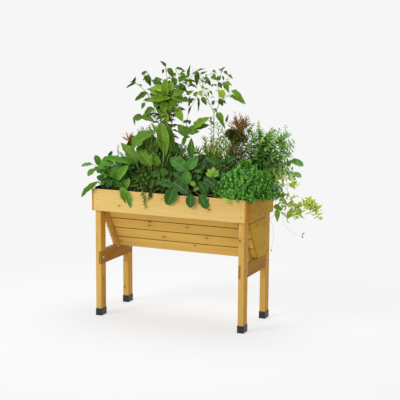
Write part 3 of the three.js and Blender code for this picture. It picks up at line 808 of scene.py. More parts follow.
PEPPER = Blade(pointed, 6, 4, 0.35, 0.16, 0.05)
ROUND = Blade(rounded, 7, 4, 0.2, 0.1, 0.06)
LONG = Blade(narrow, 7, 4, 0.35, 0.22, 0.05)
TOOTHED = Blade(toothed, 18, 4, 0.32, 0.1, 0.05)
RIBBED = Blade(oval, 12, 6, 0.25, 0.2, 0.05)
SCALLOPED = Blade(scalloped, 20, 6, 0.25, 0.16, 0.045)
SMALL = Blade(pointed, 4, 2, 0.35, 0.15)
MINT = Blade(oval, 4, 2, 0.3, 0.15)
LANCE = Blade(narrow, 4, 2, 0.3, 0.2)
NEEDLE = Blade(narrow, 3, 2, 0.2, 0.2)
FRILL = Blade(lobed, 6, 4, 0.5, 0.3, 0.55)

ASKEW = Vector((0.31, 0.87, 0.38))  # a direction in which no stem runs
STEM_TONE = 0.5
GOLDEN_ANGLE = math.pi * (3 - math.sqrt(5))
SPIRAL = 2.4  # turn between the spikes of a flower head
PATH_STEPS = 4  # between two stops of a path
LIGHT_PULL = 0.55  # how far a leaf turns up from the camera's side
STALK_DROP = 0.02  # a stalk leaves its stem this far below the leaf
STALK_LEAST = 0.004
MOUND_LOW = -0.45  # where the lowest sprig ends, as a share of the mound's half height
MOUND_SPAN = 1.42  # from there to the highest
MOUND_CLEAR = 0.012  # from a sprig's end to the soil


class Growth:
    """Leaves or stems of one plant, gathered into one mesh."""

    def __init__(self):
        self.points, self.faces, self.uvs, self.tones = [], [], [], []
        self.count = 0

    def put(self, points, faces, uvs, tone):
        self.points.append(points)
        self.faces.append(faces + self.count)
        self.uvs.append(uvs)
        self.tones.append(np.full(len(points), tone))
        self.count += len(points)

    def leaf(self, blade, base, tip, width, normal, tone):
        along = tip - base
        length = along.length
        along = along / length
        across = along.cross(normal).normalized()
        face = across.cross(along)
        axes = np.array([across * width, along * length, face * length])
        self.put(blade.points @ axes + np.array(base), blade.faces, blade.uvs, tone)

    def stem(self, stops, thick, thin, sides=5):
        path = smooth_path(stops)
        count = len(path)
        points, uvs = [], []
        for index, point in enumerate(path):
            ahead = (path[min(index + 1, count - 1)] - path[max(index - 1, 0)]).normalized()
            side = ahead.cross(ASKEW).normalized()
            other = ahead.cross(side)
            share = index / (count - 1)
            radius = thick + (thin - thick) * share
            for turn in range(sides + 1):
                angle = 2 * math.pi * turn / sides
                points.append(point + (side * math.cos(angle) + other * math.sin(angle)) * radius)
                uvs.append((turn / sides, share))
        self.put(np.array(points), np.array(grid_faces(count - 1, sides)), np.array(uvs), STEM_TONE)

    def piece(self, name, material, node):
        points = np.concatenate(self.points)
        faces = np.concatenate(self.faces).tolist()
        uvs, tones = np.concatenate(self.uvs), np.concatenate(self.tones)
        make_piece(name, points, faces, material, [node], uvs, tones)


def smooth_path(stops):
    """A path drawn smoothly through its stops, each a point or a pixel with its depth."""
    path = [stop if isinstance(stop, Vector) else seen(*stop) for stop in stops]
    if len(path) == 2:
        return [path[0].lerp(path[1], step / PATH_STEPS) for step in range(PATH_STEPS + 1)]
    ends = [path[0] * 2 - path[1], *path, path[-1] * 2 - path[-2]]
    drawn = []
    for index in range(1, len(ends) - 2):
        before, start, end, after = ends[index - 1:index + 3]
        for step in range(PATH_STEPS):
            t = step / PATH_STEPS
            drawn.append((
                start * 2 + (end - before) * t + (before * 2 - start * 5 + end * 4 - after) * t * t
                + (start * 3 - before - end * 3 + after) * t ** 3) / 2)
    return drawn + [path[-1]]


def along_path(path, share):
    """A point of a path and the direction there, at a share of the way."""
    place = share * (len(path) - 1)
    whole = min(int(place), len(path) - 2)
    start, end = path[whole], path[whole + 1]
    return start.lerp(end, place - whole), (end - start).normalized()


def toward_eye(point, rng, spread):
    """A leaf's facing: partly to the light above, partly to the camera's side, and a little at random."""
    view = (EYE - point).normalized()
    stray = Vector((rng.uniform(-1, 1), rng.uniform(-1, 1), rng.uniform(-1, 1))) * spread
    return (view + Vector((0, 0, LIGHT_PULL)) + stray).normalized()


def near_point(paths, point):
    """The place on the stems that a leaf's stalk leaves from: near, and a little below the leaf."""
    target = point - Vector((0, 0, STALK_DROP))
    return min((p for path in paths for p in path), key=lambda p: (p - target).length)


class Plant:
    """A plant's leaves and stems, with the paths of the stems that leaves are hung on."""

    def __init__(self, node, seed):
        self.node = node
        self.rng = Random(seed)
        self.leaves = Growth()
        self.stems = Growth()
        self.paths = []

    def jitter(self, size):
        return Vector([self.rng.uniform(-size, size) for _ in range(3)])

    def branch(self, stops, thick=0.0032, thin=0.0012):
        self.paths.append(smooth_path(stops))
        self.stems.stem(stops, thick, thin)

    def seen_leaves(self, blade, rows, stalk=0.0011, spread=0.45):
        """Leaves given as (base u, base v, tip u, tip v, width in pixels, depth, tone). The tone is partly
        painted light and shade, as lit or shaded as each leaf looks.
        """
        for u, v, tip_u, tip_v, wide, depth, tone in rows:
            base = seen(u, v, depth)
            tip = seen(tip_u, tip_v, depth + self.rng.uniform(-0.02, 0.02))
            normal = toward_eye(base, self.rng, spread)
            self.leaves.leaf(blade, base, tip, wide * pixel_size(base), normal, tone)
            if stalk:
                self.stalk(base, tip, stalk)

    def stalk(self, base, tip, thick):
        foot = near_point(self.paths, base)
        gap = (foot - base).length
        if gap >= STALK_LEAST:
            back = base - (tip - base).normalized() * gap * 0.3
            self.stems.stem([foot, foot.lerp(back, 0.6), base], thick * 1.3, thick, 4)

    def sprig(self, blade, stops, leaves, length, width, start=0.3, lift=0.5, pair=False, tone=(0.3, 0.8),
              thick=0.002):
        """A stem through its stops, with leaves along its upper stretch."""
        drawn = smooth_path(stops)
        self.paths.append(drawn)
        self.stems.stem(stops, thick, thick * 0.4, 4)
        turn = self.rng.uniform(0, 6.28)
        for index in range(leaves):
            share = start + (1 - start) * index / (leaves - 1)
            point, ahead = along_path(drawn, share)
            turn += math.pi / 2 if pair else GOLDEN_ANGLE
            for half in range(2 if pair else 1):
                angle = turn + half * math.pi + self.rng.uniform(-0.25, 0.25)
                side = ahead.cross(Vector((math.cos(angle), math.sin(angle), 0.2))).normalized()
                away = (side + ahead * lift + Vector((0, 0, 0.15))).normalized()
                size = length * self.rng.uniform(0.75, 1.15) * (1 - 0.35 * max(share - 0.7, 0) / 0.3)
                normal = (ahead + Vector((0, 0, 0.6)) + self.jitter(0.35)).normalized()
                shade = self.rng.uniform(*tone)
                self.leaves.leaf(blade, point, point + away * size, width * size / length, normal, shade)

    def mound(self, blade, centre, radii, root, count, leaves, length, width, **more):
        """Sprigs from a root that end on the outside of a mound."""
        for index in range(count):
            height = MOUND_LOW + MOUND_SPAN * (index + 0.5) / count
            ring = math.sqrt(max(1 - min(height, 0.98) ** 2, 0.02))
            turn = index * GOLDEN_ANGLE
            out = Vector((ring * math.cos(turn), ring * math.sin(turn), height))
            out *= self.rng.uniform(0.74, 1.0)
            tip = centre + Vector((out.x * radii[0], out.y * radii[1], out.z * radii[2]))
            tip.z = max(tip.z, soil_top + MOUND_CLEAR)
            foot = root + Vector((out.x * 0.02, out.y * 0.02, 0))
            middle = foot.lerp(tip, 0.5) + Vector((0, 0, 0.22 * abs(tip.z - foot.z) + 0.01))
            self.sprig(blade, [foot, middle, tip], leaves, length, width, **more)

    def finish(self, leaf, stem, leaf_piece=None, stem_piece=None):
        """The leaves and the stems as two pieces, in the place of the plant's solids."""
        leaf_skin = leaf_material(leaf, *LEAF_LOOKS[leaf])
        stem_skin = stem_material(stem, *STEM_LOOKS[stem])
        self.leaves.piece(leaf_piece or self.node + "_leaves", leaf_skin, self.node)
        self.stems.piece(stem_piece or self.node + "_stems", stem_skin, self.node)


def on_soil(x, y):
    """A place on the soil, from the planter's middle."""
    return Vector((centre_x + x, centre_y + y, soil_top + 0.001))


def above_soil(x, y, z):
    return on_soil(x, y) + Vector((0, 0, z))


def scatter_leaves(plant, path, count, length, width):
    """Leaves round the far side of a branch, so that it is full from every side."""
    rng = plant.rng
    for index in range(count):
        point = path[int((0.35 + 0.62 * index / count) * (len(path) - 1))]
        angle = rng.uniform(0.2, 2.94)
        away = Vector((math.cos(angle), math.sin(angle), rng.uniform(-0.35, 0.45))).normalized()
        base = point + away * rng.uniform(0.012, 0.03)
        tip = base + away * length * rng.uniform(0.7, 1.2)
        normal = (Vector((0, 0, 1)) + plant.jitter(0.6)).normalized()
        plant.leaves.leaf(PEPPER, base, tip, width * rng.uniform(0.8, 1.2), normal, rng.uniform(0.2, 0.7))
        plant.stems.stem([point, base], 0.0011, 0.0009, 4)


# Peppers. The rows of this table and the next ones are as Plant.seen_leaves says.

LEFT_PEPPER_LEAVES = (
    (165.8, 67.2, 159.9, 60.1, 3.8, 0.04, 0.2), (168, 68, 174, 78.5, 5.8, 0.04, 0.35),
    (163.5, 69, 162.5, 74, 2.4, 0.04, 0.2), (173.5, 77, 173.8, 89.5, 6.8, 0.03, 0.5),
    (175.5, 68.5, 186, 71, 3.4, -0.02, 0.6), (188.9, 76, 189.8, 65, 3.6, 0.02, 0.5),
    (178.5, 81.5, 189.5, 75, 6.4, -0.02, 0.45), (179.5, 73.5, 186.5, 77.5, 4.4, 0, 0.6),
    (196.6, 70.5, 196.9, 86.5, 5.6, 0.06, 0.3), (135.8, 76.8, 131.4, 84, 3, 0.02, 0.4),
    (136.6, 82.6, 124.6, 88.4, 2.4, 0.02, 0.5), (147.5, 72.5, 139.8, 73.5, 2.4, 0.05, 0.9),
    (142, 75, 147.5, 70.4, 2.4, 0.05, 0.8), (144, 76, 151.5, 86, 8, 0.05, 0.3),
    (154.5, 79.5, 161.5, 78.6, 3.2, 0.05, 0.6), (152, 80, 159.5, 87.5, 6.5, 0.04, 0.3),
    (158, 81.5, 163, 87, 5, 0.04, 0.2), (169.5, 80, 171, 90, 5, 0.03, 0.55),
    (148.2, 92.4, 134.4, 100.8, 6, 0, 0.3), (140, 96.6, 134.6, 100.4, 3.4, 0, 0.25),
    (152.5, 101, 141.8, 99.8, 4.4, -0.01, 1.1), (145.2, 102.6, 141.3, 109.2, 4.2, 0, 0.4),
    (171, 92.5, 184.5, 99.5, 6, -0.01, 0.65), (174, 102.4, 182.5, 98.5, 5, 0, 0.7),
    (177.5, 85.5, 187.5, 91.5, 7.6, 0.03, 0.3), (183.5, 84.5, 179.5, 90.5, 5, 0.02, 0.4),
    (186.4, 94.2, 193.5, 90.6, 4.4, 0.03, 1), (191.5, 79, 189, 83.5, 4.4, 0.03, 0.5),
    (155, 108.5, 142, 116.5, 8, -0.02, 0.5), (143.5, 117.5, 131.4, 118, 7.4, -0.02, 0.5),
    (141, 117, 155.5, 121.5, 8, -0.02, 0.55), (133.5, 118.5, 135, 125.5, 2.2, -0.02, 0.8),
    (154, 105, 160.5, 108.5, 4.4, 0, 0.5), (165.5, 112.5, 166, 127, 5.4, -0.03, 1.5),
    (161.5, 112.5, 160.5, 121.5, 4.4, -0.01, 0.9), (167.5, 113.5, 170.5, 121.5, 3.8, 0, 0.6),
    (157, 110.5, 163.5, 114, 4.2, -0.02, 0.8), (180.5, 101.5, 188, 101, 3.4, 0, 0.9),
    (184, 97, 189.5, 102.5, 3.4, 0.01, 0.7), (176.5, 93.5, 180.5, 87.5, 4, 0, 0.7),
    (176, 76, 170, 73, 4.4, 0.05, 0.8), (182, 80, 184.5, 73, 4.2, 0.05, 0.5),
)
LEFT_PEPPER_HEAD = (
    (169, 91, 149, 86.5, 8.5, -0.03, 1.15), (170, 94.5, 151.5, 93.5, 8, -0.035, 1),
    (171, 98, 143, 100.5, 6.4, -0.035, 1.1), (166, 92, 164.6, 78.6, 8, -0.035, 1.25),
    (171, 91.5, 171.5, 80.5, 7, -0.03, 0.9), (172.5, 94, 183.5, 92, 7.6, -0.03, 0.7),
    (171, 96.5, 186.5, 100.5, 7.6, -0.03, 0.9), (169.5, 100, 175.5, 108.5, 8, -0.03, 0.8),
    (165, 101, 163.5, 113, 8.4, -0.035, 0.9), (160, 100, 154.5, 108, 7.4, -0.03, 0.7),
    (162, 95, 151.5, 102.5, 7, -0.02, 0.4), (168, 103, 171.5, 113, 6, -0.03, 0.6),
    (165, 98, 149, 88.5, 9.5, -0.02, 0.95), (164, 97, 156, 86.8, 8, 0, 0.8),
    (165.5, 97.5, 165.8, 78.8, 7.4, -0.03, 0.95), (166, 99, 171.5, 88.5, 7.6, -0.02, 0.6),
    (164, 101, 146.5, 99, 7.4, -0.03, 1), (165.5, 100, 172.5, 102.5, 8.4, -0.01, 0.45),
    (163.5, 98.5, 152.5, 105, 9, -0.025, 0.6), (164.5, 98, 158.5, 109.5, 9.6, -0.04, 0.35),
    (165.5, 101, 166.5, 112.5, 8, -0.025, 0.45), (160, 103, 157.5, 110.5, 6.4, 0, 0.5),
    (163, 94, 157.5, 101.5, 8.6, 0.02, 0.4), (166.5, 109.5, 178.5, 108.6, 6.6, -0.02, 0.7),
    (176, 107.8, 182.8, 121.4, 8, -0.025, 1.15), (160, 92, 152, 96, 7, 0.02, 0.5),
    (168, 93, 174, 96, 6.6, 0.02, 0.4),
)
RIGHT_PEPPER_LEAVES = (
    (200.6, 74, 206.9, 71.4, 2.4, 0.07, 0.35), (204.3, 78, 210, 80.2, 3.6, 0.07, 0.3),
    (206.8, 80.7, 211.2, 86, 4.2, 0.06, 0.25), (208, 79.5, 204.8, 84.6, 3.2, 0.06, 0.3),
    (212.4, 70.6, 216.6, 73.2, 2.8, 0.07, 0.3), (213, 74, 216, 75.5, 2, 0.07, 0.4),
    (211.2, 76.4, 217.5, 80.2, 5.2, 0.06, 0.35), (217.3, 80.2, 221, 75.4, 4.6, 0.06, 0.35),
    (219, 69.3, 222, 70.8, 1.8, 0.06, 0.3), (221.6, 71, 225.3, 66.2, 2.4, 0.06, 0.3),
    (224.2, 71.2, 227.8, 74.9, 3.6, 0.07, 0.25), (228.2, 74.7, 233, 79, 2.8, 0.07, 0.3),
    (222.4, 75.6, 223.9, 80.8, 2.2, 0.07, 0.45), (218.3, 82.2, 222, 88.6, 4.2, 0.06, 0.2),
    (222.8, 82, 229.3, 92.6, 6.6, 0.07, 0.75), (225, 83, 232, 85, 4.4, 0.07, 0.6),
    (231.4, 90.4, 246, 103.4, 6, 0.05, 0.8), (229.4, 96, 244.5, 103.4, 4.6, 0.05, 0.7),
    (200, 90.6, 202.3, 96.2, 4.4, 0.05, 1.3), (202, 86.6, 204.8, 88.8, 3.2, 0.06, 1.1),
    (209.2, 90.8, 212.8, 95.2, 2.6, 0.06, 0.4), (208, 92, 208.6, 97, 2, 0.06, 0.5),
    (201.6, 97, 206.8, 105.4, 5.2, 0.05, 0.35), (214.6, 100.4, 211.8, 105.6, 3.6, 0.06, 0.4),
    (197.4, 97, 198.6, 112, 2.6, 0.05, 0.3), (195, 98.6, 187, 106.6, 5, 0.04, 0.35),
    (219, 98.6, 223.2, 106.2, 6, 0.05, 0.15), (222.6, 100.4, 226, 103.8, 3, 0.05, 0.15),
    (193.8, 92.8, 196.6, 97, 3.8, 0.05, 1.2), (198.6, 92.6, 192.6, 95.4, 3.4, 0.05, 0.9),
    (214, 84, 211, 87.4, 2.2, 0.07, 0.4), (216.5, 112.5, 224, 124.6, 7.4, 0.04, 0.65),
    (213.5, 108.6, 217.6, 112.4, 3, 0.05, 0.5), (191, 106, 187.8, 115.5, 2.2, 0.04, 0.4),
    (209.5, 121, 214.5, 125.5, 3.2, 0.05, 0.8), (226, 122.5, 228.4, 114, 2.6, 0.05, 0.5),
    (212, 116.5, 210, 121, 2.2, 0.05, 0.9), (219.5, 122, 226, 129, 4.4, 0.05, 0.7),
    (187.5, 102, 190.5, 95.5, 2, 0.04, 0.4), (203, 83, 200.5, 79.5, 2, 0.06, 0.6),
)
RIGHT_PEPPER_SIDE_LEAVES = (
    (183, 122.5, 190.6, 120.5, 3.6, 0.02, 0.3), (190.6, 120.5, 188.6, 124.6, 2.6, 0.02, 0.2),
)
RIGHT_PEPPER_BROAD_LEAVES = (
    (193.5, 128.5, 208.6, 117, 9, 0.01, 0.75), (188, 133.5, 198.5, 125, 8.4, 0.005, 0.55),
    (187, 136.5, 178, 124, 9, 0, 0.4), (195.5, 128, 208.5, 124.8, 6.4, 0.02, 0.35),
    (188.5, 134, 186, 125.5, 6, 0.005, 0.3), (190, 134, 199, 131, 6, 0.01, 0.45),
    (183.5, 139, 190, 136.5, 5, 0.01, 0.5), (185.5, 136, 183, 146, 4.4, 0.01, 0.6),
)


def make_tall_pepper_left():
    plant = Plant("tall_pepper_left", 11)
    fork, crown = seen(166, 150, 0.012), seen(165, 110, 0.015)
    plant.branch([on_soil(-0.113, 0.01), fork, crown, (168, 90, 0.03), (165.5, 66, 0.04)], 0.0045, 0.0014)
    plant.branch([fork, (173, 118, 0.02), (181, 97, 0.03), (187.5, 80, 0.02), (190, 68, 0.02)])
    plant.branch([fork, (160, 118, 0.02), (150, 98, 0), (142, 88, 0.02), (132, 82, 0.02)])
    for stops in (
            [crown, (158, 94, 0.03), (152, 80, 0.05), (147, 72, 0.05)],
            [crown, (176, 92, -0.02), (180, 80, -0.02), (176, 70, -0.02)],
            [fork, (158, 122, -0.02), (148, 116, -0.03), (138, 117, -0.02)],
            [crown, (174, 110, -0.02), (181, 106, -0.02)],
            [(176, 104, 0), (186, 84, 0.05), (196.5, 70, 0.06)]):
        plant.branch(stops, 0.002, 0.001)
    plant.seen_leaves(PEPPER, LEFT_PEPPER_LEAVES)
    plant.mound(PEPPER, seen(164, 96, 0.03), (0.085, 0.05, 0.065), crown, 22, 5, 0.05, 0.025, start=0.5,
                tone=(0.3, 1.1), thick=0.0014)
    plant.mound(SMALL, seen(163, 114, 0), (0.07, 0.045, 0.045), fork, 8, 5, 0.03, 0.014, start=0.75,
                tone=(1, 1.9), thick=0.0012)
    plant.seen_leaves(RIBBED, LEFT_PEPPER_HEAD)
    for path in plant.paths:
        scatter_leaves(plant, path, 7, 0.05, 0.022)
    plant.finish("tall_pepper_leaf", "pepper_stem")


def make_tall_pepper_right():
    plant = Plant("tall_pepper_right", 12)
    fork = (214, 113, 0.06)
    for stops, thick, thin in (
            ([on_soil(0.179, 0.058), (213.5, 160, 0.06), fork], 0.004, 0.0026),
            ([fork, (207, 98, 0.06), (199.5, 83.6, 0.06), (192.5, 69, 0.06)], 0.0024, 0.001),
            ([fork, (218.8, 104, 0.06), (218.4, 82, 0.06), (222.5, 70, 0.06)], 0.003, 0.001),
            ([(210, 105, 0.06), (201, 96, 0.05), (193, 93, 0.05)], 0.0016, 0.0008),
            ([(218.8, 98, 0.06), (225, 88, 0.07), (230.5, 76, 0.07)], 0.0018, 0.0008),
            ([(218.7, 102, 0.06), (225, 98, 0.05), (231, 92.5, 0.05)], 0.0018, 0.001),
            ([(199.5, 83.6, 0.06), (204, 77, 0.07), (213, 73, 0.07)], 0.0014, 0.0007),
            ([(187.5, 118, 0.03), (190, 109, 0.04), (195.5, 99.5, 0.04)], 0.0016, 0.001),
            ([on_soil(0.03, 0.03), (181, 150, 0.03), (184.5, 137, 0.03), (187.5, 118, 0.03)], 0.003, 0.0016)):
        plant.branch(stops, thick, thin)
    plant.seen_leaves(PEPPER, RIGHT_PEPPER_LEAVES)
    plant.seen_leaves(ROUND, [(219.4, 90, 224.2, 97.6, 7.4, 0.055, 1.5)])
    plant.seen_leaves(RIBBED, RIGHT_PEPPER_SIDE_LEAVES)
    plant.seen_leaves(SCALLOPED, RIGHT_PEPPER_BROAD_LEAVES)
    for path in plant.paths[1:7]:
        scatter_leaves(plant, path, 4, 0.032, 0.014)
    plant.finish("light_pepper_leaf", "light_pepper_stem")


# Chard and the low herb before it

CHARD_LEAVES = (
    (160.6, 122, 165.8, 157.5, 12, -0.07, 0.95), (168, 125.5, 170.4, 150.5, 8.4, -0.04, 0.55),
    (131.8, 148.5, 153, 129, 15.5, -0.06, 0.6), (137, 164.5, 121.6, 141, 12, -0.08, 0.75),
    (151.5, 167, 136.5, 146, 14.6, -0.09, 0.7), (156.5, 153, 151.5, 133, 8, -0.05, 0.5),
    (152, 150, 143, 136, 9, -0.05, 0.35), (170.5, 151, 170.5, 127.5, 8, -0.04, 0.6),
    (131, 170, 122, 156, 9, -0.05, 0.5), (160, 140, 172.5, 124.5, 8, 0, 0.35),
    (177, 153, 173, 140, 7.5, -0.02, 0.15), (191.5, 157, 191, 138, 7.5, 0, 0.35),
    (158.5, 168, 153, 152, 8.5, -0.07, 0.5), (128, 152, 133, 136, 8, -0.02, 0.3),
    (164, 143, 151.8, 122.2, 7, -0.078, 1.3), (153.5, 158, 146.5, 132.5, 12, -0.045, 0.55),
    (147, 158, 138.5, 136, 12, -0.05, 0.65),
)
LOW_HERB_MOUNDS = (  # centre, radii and number of sprigs
    ((-0.3, -0.12, 0.03), (0.11, 0.07, 0.06), 60),
    ((-0.19, -0.12, 0.05), (0.12, 0.075, 0.085), 80),
    ((-0.06, -0.12, 0.06), (0.1, 0.07, 0.09), 70),
    ((-0.16, -0.07, 0.09), (0.15, 0.07, 0.1), 90),
    ((0, -0.05, 0.09), (0.12, 0.07, 0.1), 70),
)
EDGE = -0.222  # depth just before the front board


def make_chard():
    plant = Plant("chard", 13)
    root = on_soil(-0.222, -0.052)
    plant.paths.append([root + plant.jitter(0.01) for _ in range(3)])
    plant.seen_leaves(RIBBED, CHARD_LEAVES, 0.0028, 0.25)
    inner = on_soil(-0.2, 0.02)
    plant.mound(LONG, above_soil(-0.2, 0.02, 0.12), (0.17, 0.09, 0.16), inner, 46, 7, 0.05, 0.02,
                tone=(0, 0.6))
    plant.mound(SMALL, above_soil(-0.18, 0, 0.16), (0.15, 0.08, 0.18), inner, 96, 11, 0.028, 0.016, start=0.4,
                pair=True, tone=(0.2, 1.5), thick=0.0014)
    plant.mound(PEPPER, above_soil(-0.08, 0.02, 0.19), (0.11, 0.07, 0.14), inner, 46, 8, 0.034, 0.019,
                start=0.4, tone=(0.1, 1.1), thick=0.0016)
    plant.mound(SMALL, seen(146.5, 130, 0.05), (0.06, 0.03, 0.03), inner, 14, 7, 0.022, 0.012, start=0.75,
                tone=(0.2, 1.1), thick=0.0011)
    plant.finish("chard_leaf", "chard_stem")


def make_low_herb():
    """Fine dark foliage that fills the bed in front of the chard, and its sprigs over the front board."""
    plant = Plant("chard", 23)
    for (x, y, z), radii, count in LOW_HERB_MOUNDS:
        plant.mound(SMALL, above_soil(x, y, z), radii, on_soil(x, y), count, 14, 0.013, 0.0072, start=0.4,
                    pair=True, tone=(0.1, 1.5), thick=0.0009)
    hang = [on_soil(-0.2, -0.15), *seen_line([(141, 187), (142.8, 192), (144.5, 199), (145.6, 207)], EDGE)]
    plant.sprig(SMALL, hang, 11, 0.026, 0.015, start=0.45, pair=True, tone=(0.5, 1.3))
    plant.seen_leaves(LONG, [
        (150.6, 188.5, 149.3, 202.5, 3.8, EDGE, 0.1), (152.5, 181, 149.8, 189.5, 3.4, -0.2, 0.3)], 0)
    for pixels in (
            [(129.5, 186.5), (133, 185), (138, 187), (142, 189)],
            [(153.5, 192.5), (156, 189.5), (161, 189), (165, 190)]):
        plant.stems.stem(seen_line(pixels, -0.21), 0.0012, 0.0007, 4)
    plant.finish("low_herb_leaf", "low_herb_stem", "low_herb_leaves", "low_herb_stems")


# Round-leaved greens and their flower

GREENS_ROUND_LEAVES = (
    (92.8, 164.4, 80.6, 165.6, 4.8, -0.12, 0.85), (95, 170.5, 86.8, 174.6, 7.6, -0.12, 0.6),
    (99.8, 166, 95.4, 155, 6.8, -0.1, 0.55), (103.5, 170.5, 93.4, 168, 6, -0.12, 0.3),
    (104, 160.5, 108, 157, 5, -0.08, 0.3), (108.2, 158.5, 112.2, 151, 3.8, -0.06, 0.15),
    (114.4, 163.5, 100.2, 160.8, 9, -0.12, 0.7), (110.5, 170, 99.4, 175.5, 8.4, -0.13, 0.45),
    (113, 178.5, 101.5, 183, 7.4, -0.14, 0.3), (121.5, 172, 111, 166.5, 9, -0.13, 0.35),
    (112, 180, 121.5, 187.5, 8, -0.16, 0.05), (104.5, 186, 112, 180.5, 7, -0.17, 0.1),
    (122.5, 166, 115, 157, 8, -0.08, 0.5), (126, 176, 117.5, 186.5, 6.4, -0.16, 0.15),
    (97, 176, 104, 181, 6, -0.14, 0.2), (110.5, 166.5, 97.5, 165.5, 7.8, -0.125, 0.6),
    (108, 175, 96.5, 170, 7.8, -0.13, 0.7), (113, 173, 104, 163, 7.4, -0.12, 0.5),
    (119, 178, 108.5, 173, 7.4, -0.135, 0.6), (126.5, 170, 117.5, 175.5, 7, -0.14, 0.7),
)
GREENS_LONG_LEAVES = (
    (104, 159.6, 129.5, 162, 6.6, -0.13, 0.9), (128.6, 165, 115.6, 181.4, 8, -0.16, 1.1),
    (118, 159, 137, 163, 6, -0.11, 0.7), (99.8, 181, 78.8, 197.6, 5.6, -0.215, 1.2),
    (129.6, 178.5, 124.4, 189.5, 6.4, -0.17, 0.9), (97.5, 182.4, 88.5, 190.5, 3.6, -0.2, 1),
    (100, 184.5, 107, 182.6, 2.4, -0.18, 0.9),
)
GREENS_RIBBED_LEAVES = (
    (120.4, 187.4, 129.6, 205.4, 10, -0.229, 1.2), (124.5, 189, 131, 208, 5.4, -0.231, 1),
)
GREENS_SPRIGS = (
    [(122, 166), (118.5, 154), (118, 145)],
    [(125, 166), (122.5, 158), (121, 153)],
    [(128, 166), (127, 159), (125.5, 154)],
)
PETALS = 34


def make_round_leaved_greens():
    plant = Plant("round_leaved_greens", 14)
    root = on_soil(-0.415, -0.1)
    plant.paths.append([root, root + Vector((0.01, 0.01, 0.02))])
    plant.seen_leaves(ROUND, GREENS_ROUND_LEAVES, 0.0016, 0.35)
    plant.seen_leaves(LONG, GREENS_LONG_LEAVES, 0.0014, 0.3)
    plant.seen_leaves(RIBBED, GREENS_RIBBED_LEAVES, 0.0014, 0.1)
    plant.mound(ROUND, above_soil(-0.41, -0.07, 0.05), (0.125, 0.1, 0.11), root, 72, 5, 0.038, 0.031,
                tone=(0, 0.5))
    plant.mound(ROUND, above_soil(-0.335, -0.05, 0.075), (0.08, 0.08, 0.11), on_soil(-0.34, -0.05), 44, 5,
                0.036, 0.028, tone=(0, 0.6))
    for pixels in GREENS_SPRIGS:
        plant.sprig(SMALL, [on_soil(-0.35, -0.05), *seen_line(pixels, -0.05)], 12, 0.022, 0.012, start=0.6,
                    tone=(0.6, 1.7), thick=0.0014)
    plant.finish("round_leaf", "greens_stem")


def make_flower():
    """A small spiky orange flower head, which belongs to the greens."""
    plant = Plant("round_leaved_greens", 15)
    base = seen(130.8, 141.5, -0.02)
    foot = on_soil(-0.36, -0.02)
    plant.stems.stem([foot, foot.lerp(base, 0.6), base], 0.002, 0.0014)
    for index in range(PETALS):
        angle = index * SPIRAL
        rise = 0.2 + 1.2 * (index / PETALS)
        away = Vector((math.cos(angle) * 0.5 - 0.28, math.sin(angle) * 0.5, rise)).normalized()
        start = base + away * 0.006
        tip = start + away * plant.rng.uniform(0.02, 0.06)
        bend = away.cross(Vector((0, 1, 0.3)))
        plant.leaves.leaf(NEEDLE, start, tip + plant.jitter(0.008), 0.0055, bend, plant.rng.random())
    plant.stems.stem([base, (125.5, 134, -0.02), (119.5, 134.6, -0.02)], 0.0012, 0.0006, 4)
    plant.finish("orange_petal", "flower_stem", "orange_flower_petals", "orange_flower_stem")


# Strawberry

STRAWBERRY_LEAVES = (
    (187.4, 172.2, 170.2, 157.4, 13, -0.15, 0.6), (187.2, 169.4, 197.8, 158, 10.6, -0.14, 0.8),
    (187.8, 171, 185.4, 185.8, 10.2, -0.17, 0.8), (174, 188.4, 154.2, 181, 11, -0.18, 0.3),
    (175, 186, 167, 205.2, 13.2, -0.226, 0.35), (172.6, 182, 189, 193.6, 12.4, -0.205, 0.1),
    (190.8, 194, 190.4, 208, 9.6, -0.229, 0.3), (199.4, 194.8, 207.4, 208.8, 11.6, -0.229, 0.35),
    (206.6, 195.6, 198.4, 181, 9.8, -0.2, 0.15), (218, 188.8, 203.6, 177, 10.4, -0.17, 0.1),
    (196, 172, 205, 165, 8, -0.12, 0.25), (160, 178, 151, 172, 8, -0.14, 0.1),
    (182, 180, 174, 172.5, 8, -0.14, 0.15), (195, 190, 204, 184, 8, -0.16, 0.15),
    (166, 180, 172, 172, 7, -0.12, 0.2), (192, 181, 201, 176, 7, -0.14, 0.5),
    (194, 171, 203.5, 172.5, 4.5, -0.15, 0.8), (168, 175.5, 160.5, 169, 7, -0.13, 0.4),
)
STRAWBERRY_YOUNG_LEAVES = (
    (212.5, 176.5, 205.6, 173, 4.6, -0.155, 1.5), (212.5, 176, 208, 169, 4.6, -0.15, 1.6),
    (213, 175.5, 213, 167, 4.6, -0.15, 1.7), (213.5, 176, 218, 170, 4.6, -0.15, 1.4),
    (213.5, 176.5, 219, 174.6, 4, -0.155, 1.2), (195.5, 186, 190.5, 181, 4.6, -0.175, 1.5),
    (193.5, 190, 199, 187.5, 4, -0.18, 1.3), (222.6, 198.2, 229.8, 202, 3.6, -0.229, 1.9),
)
STRAWBERRY_LONG_LEAVES = (
    (200.5, 171.5, 205.5, 155.5, 10.5, -0.06, 0), (207, 158.8, 223, 165, 6, -0.08, 0.5),
    (209, 170, 203.5, 159.5, 9, -0.07, 0.05), (236.5, 158, 221.5, 164.5, 6, -0.07, 0.45),
    (229, 168, 226.5, 155.5, 8, -0.06, 0.15), (217.5, 172, 225.5, 167.5, 6, -0.1, 0.1),
    (222, 164.5, 215.5, 172, 7, -0.1, 0.15), (224, 184, 217.5, 172.5, 8, -0.04, 0.15),
    (229, 181, 220.5, 174, 8, -0.03, 0.3), (231, 176, 222, 170, 7, -0.02, 0.1),
)


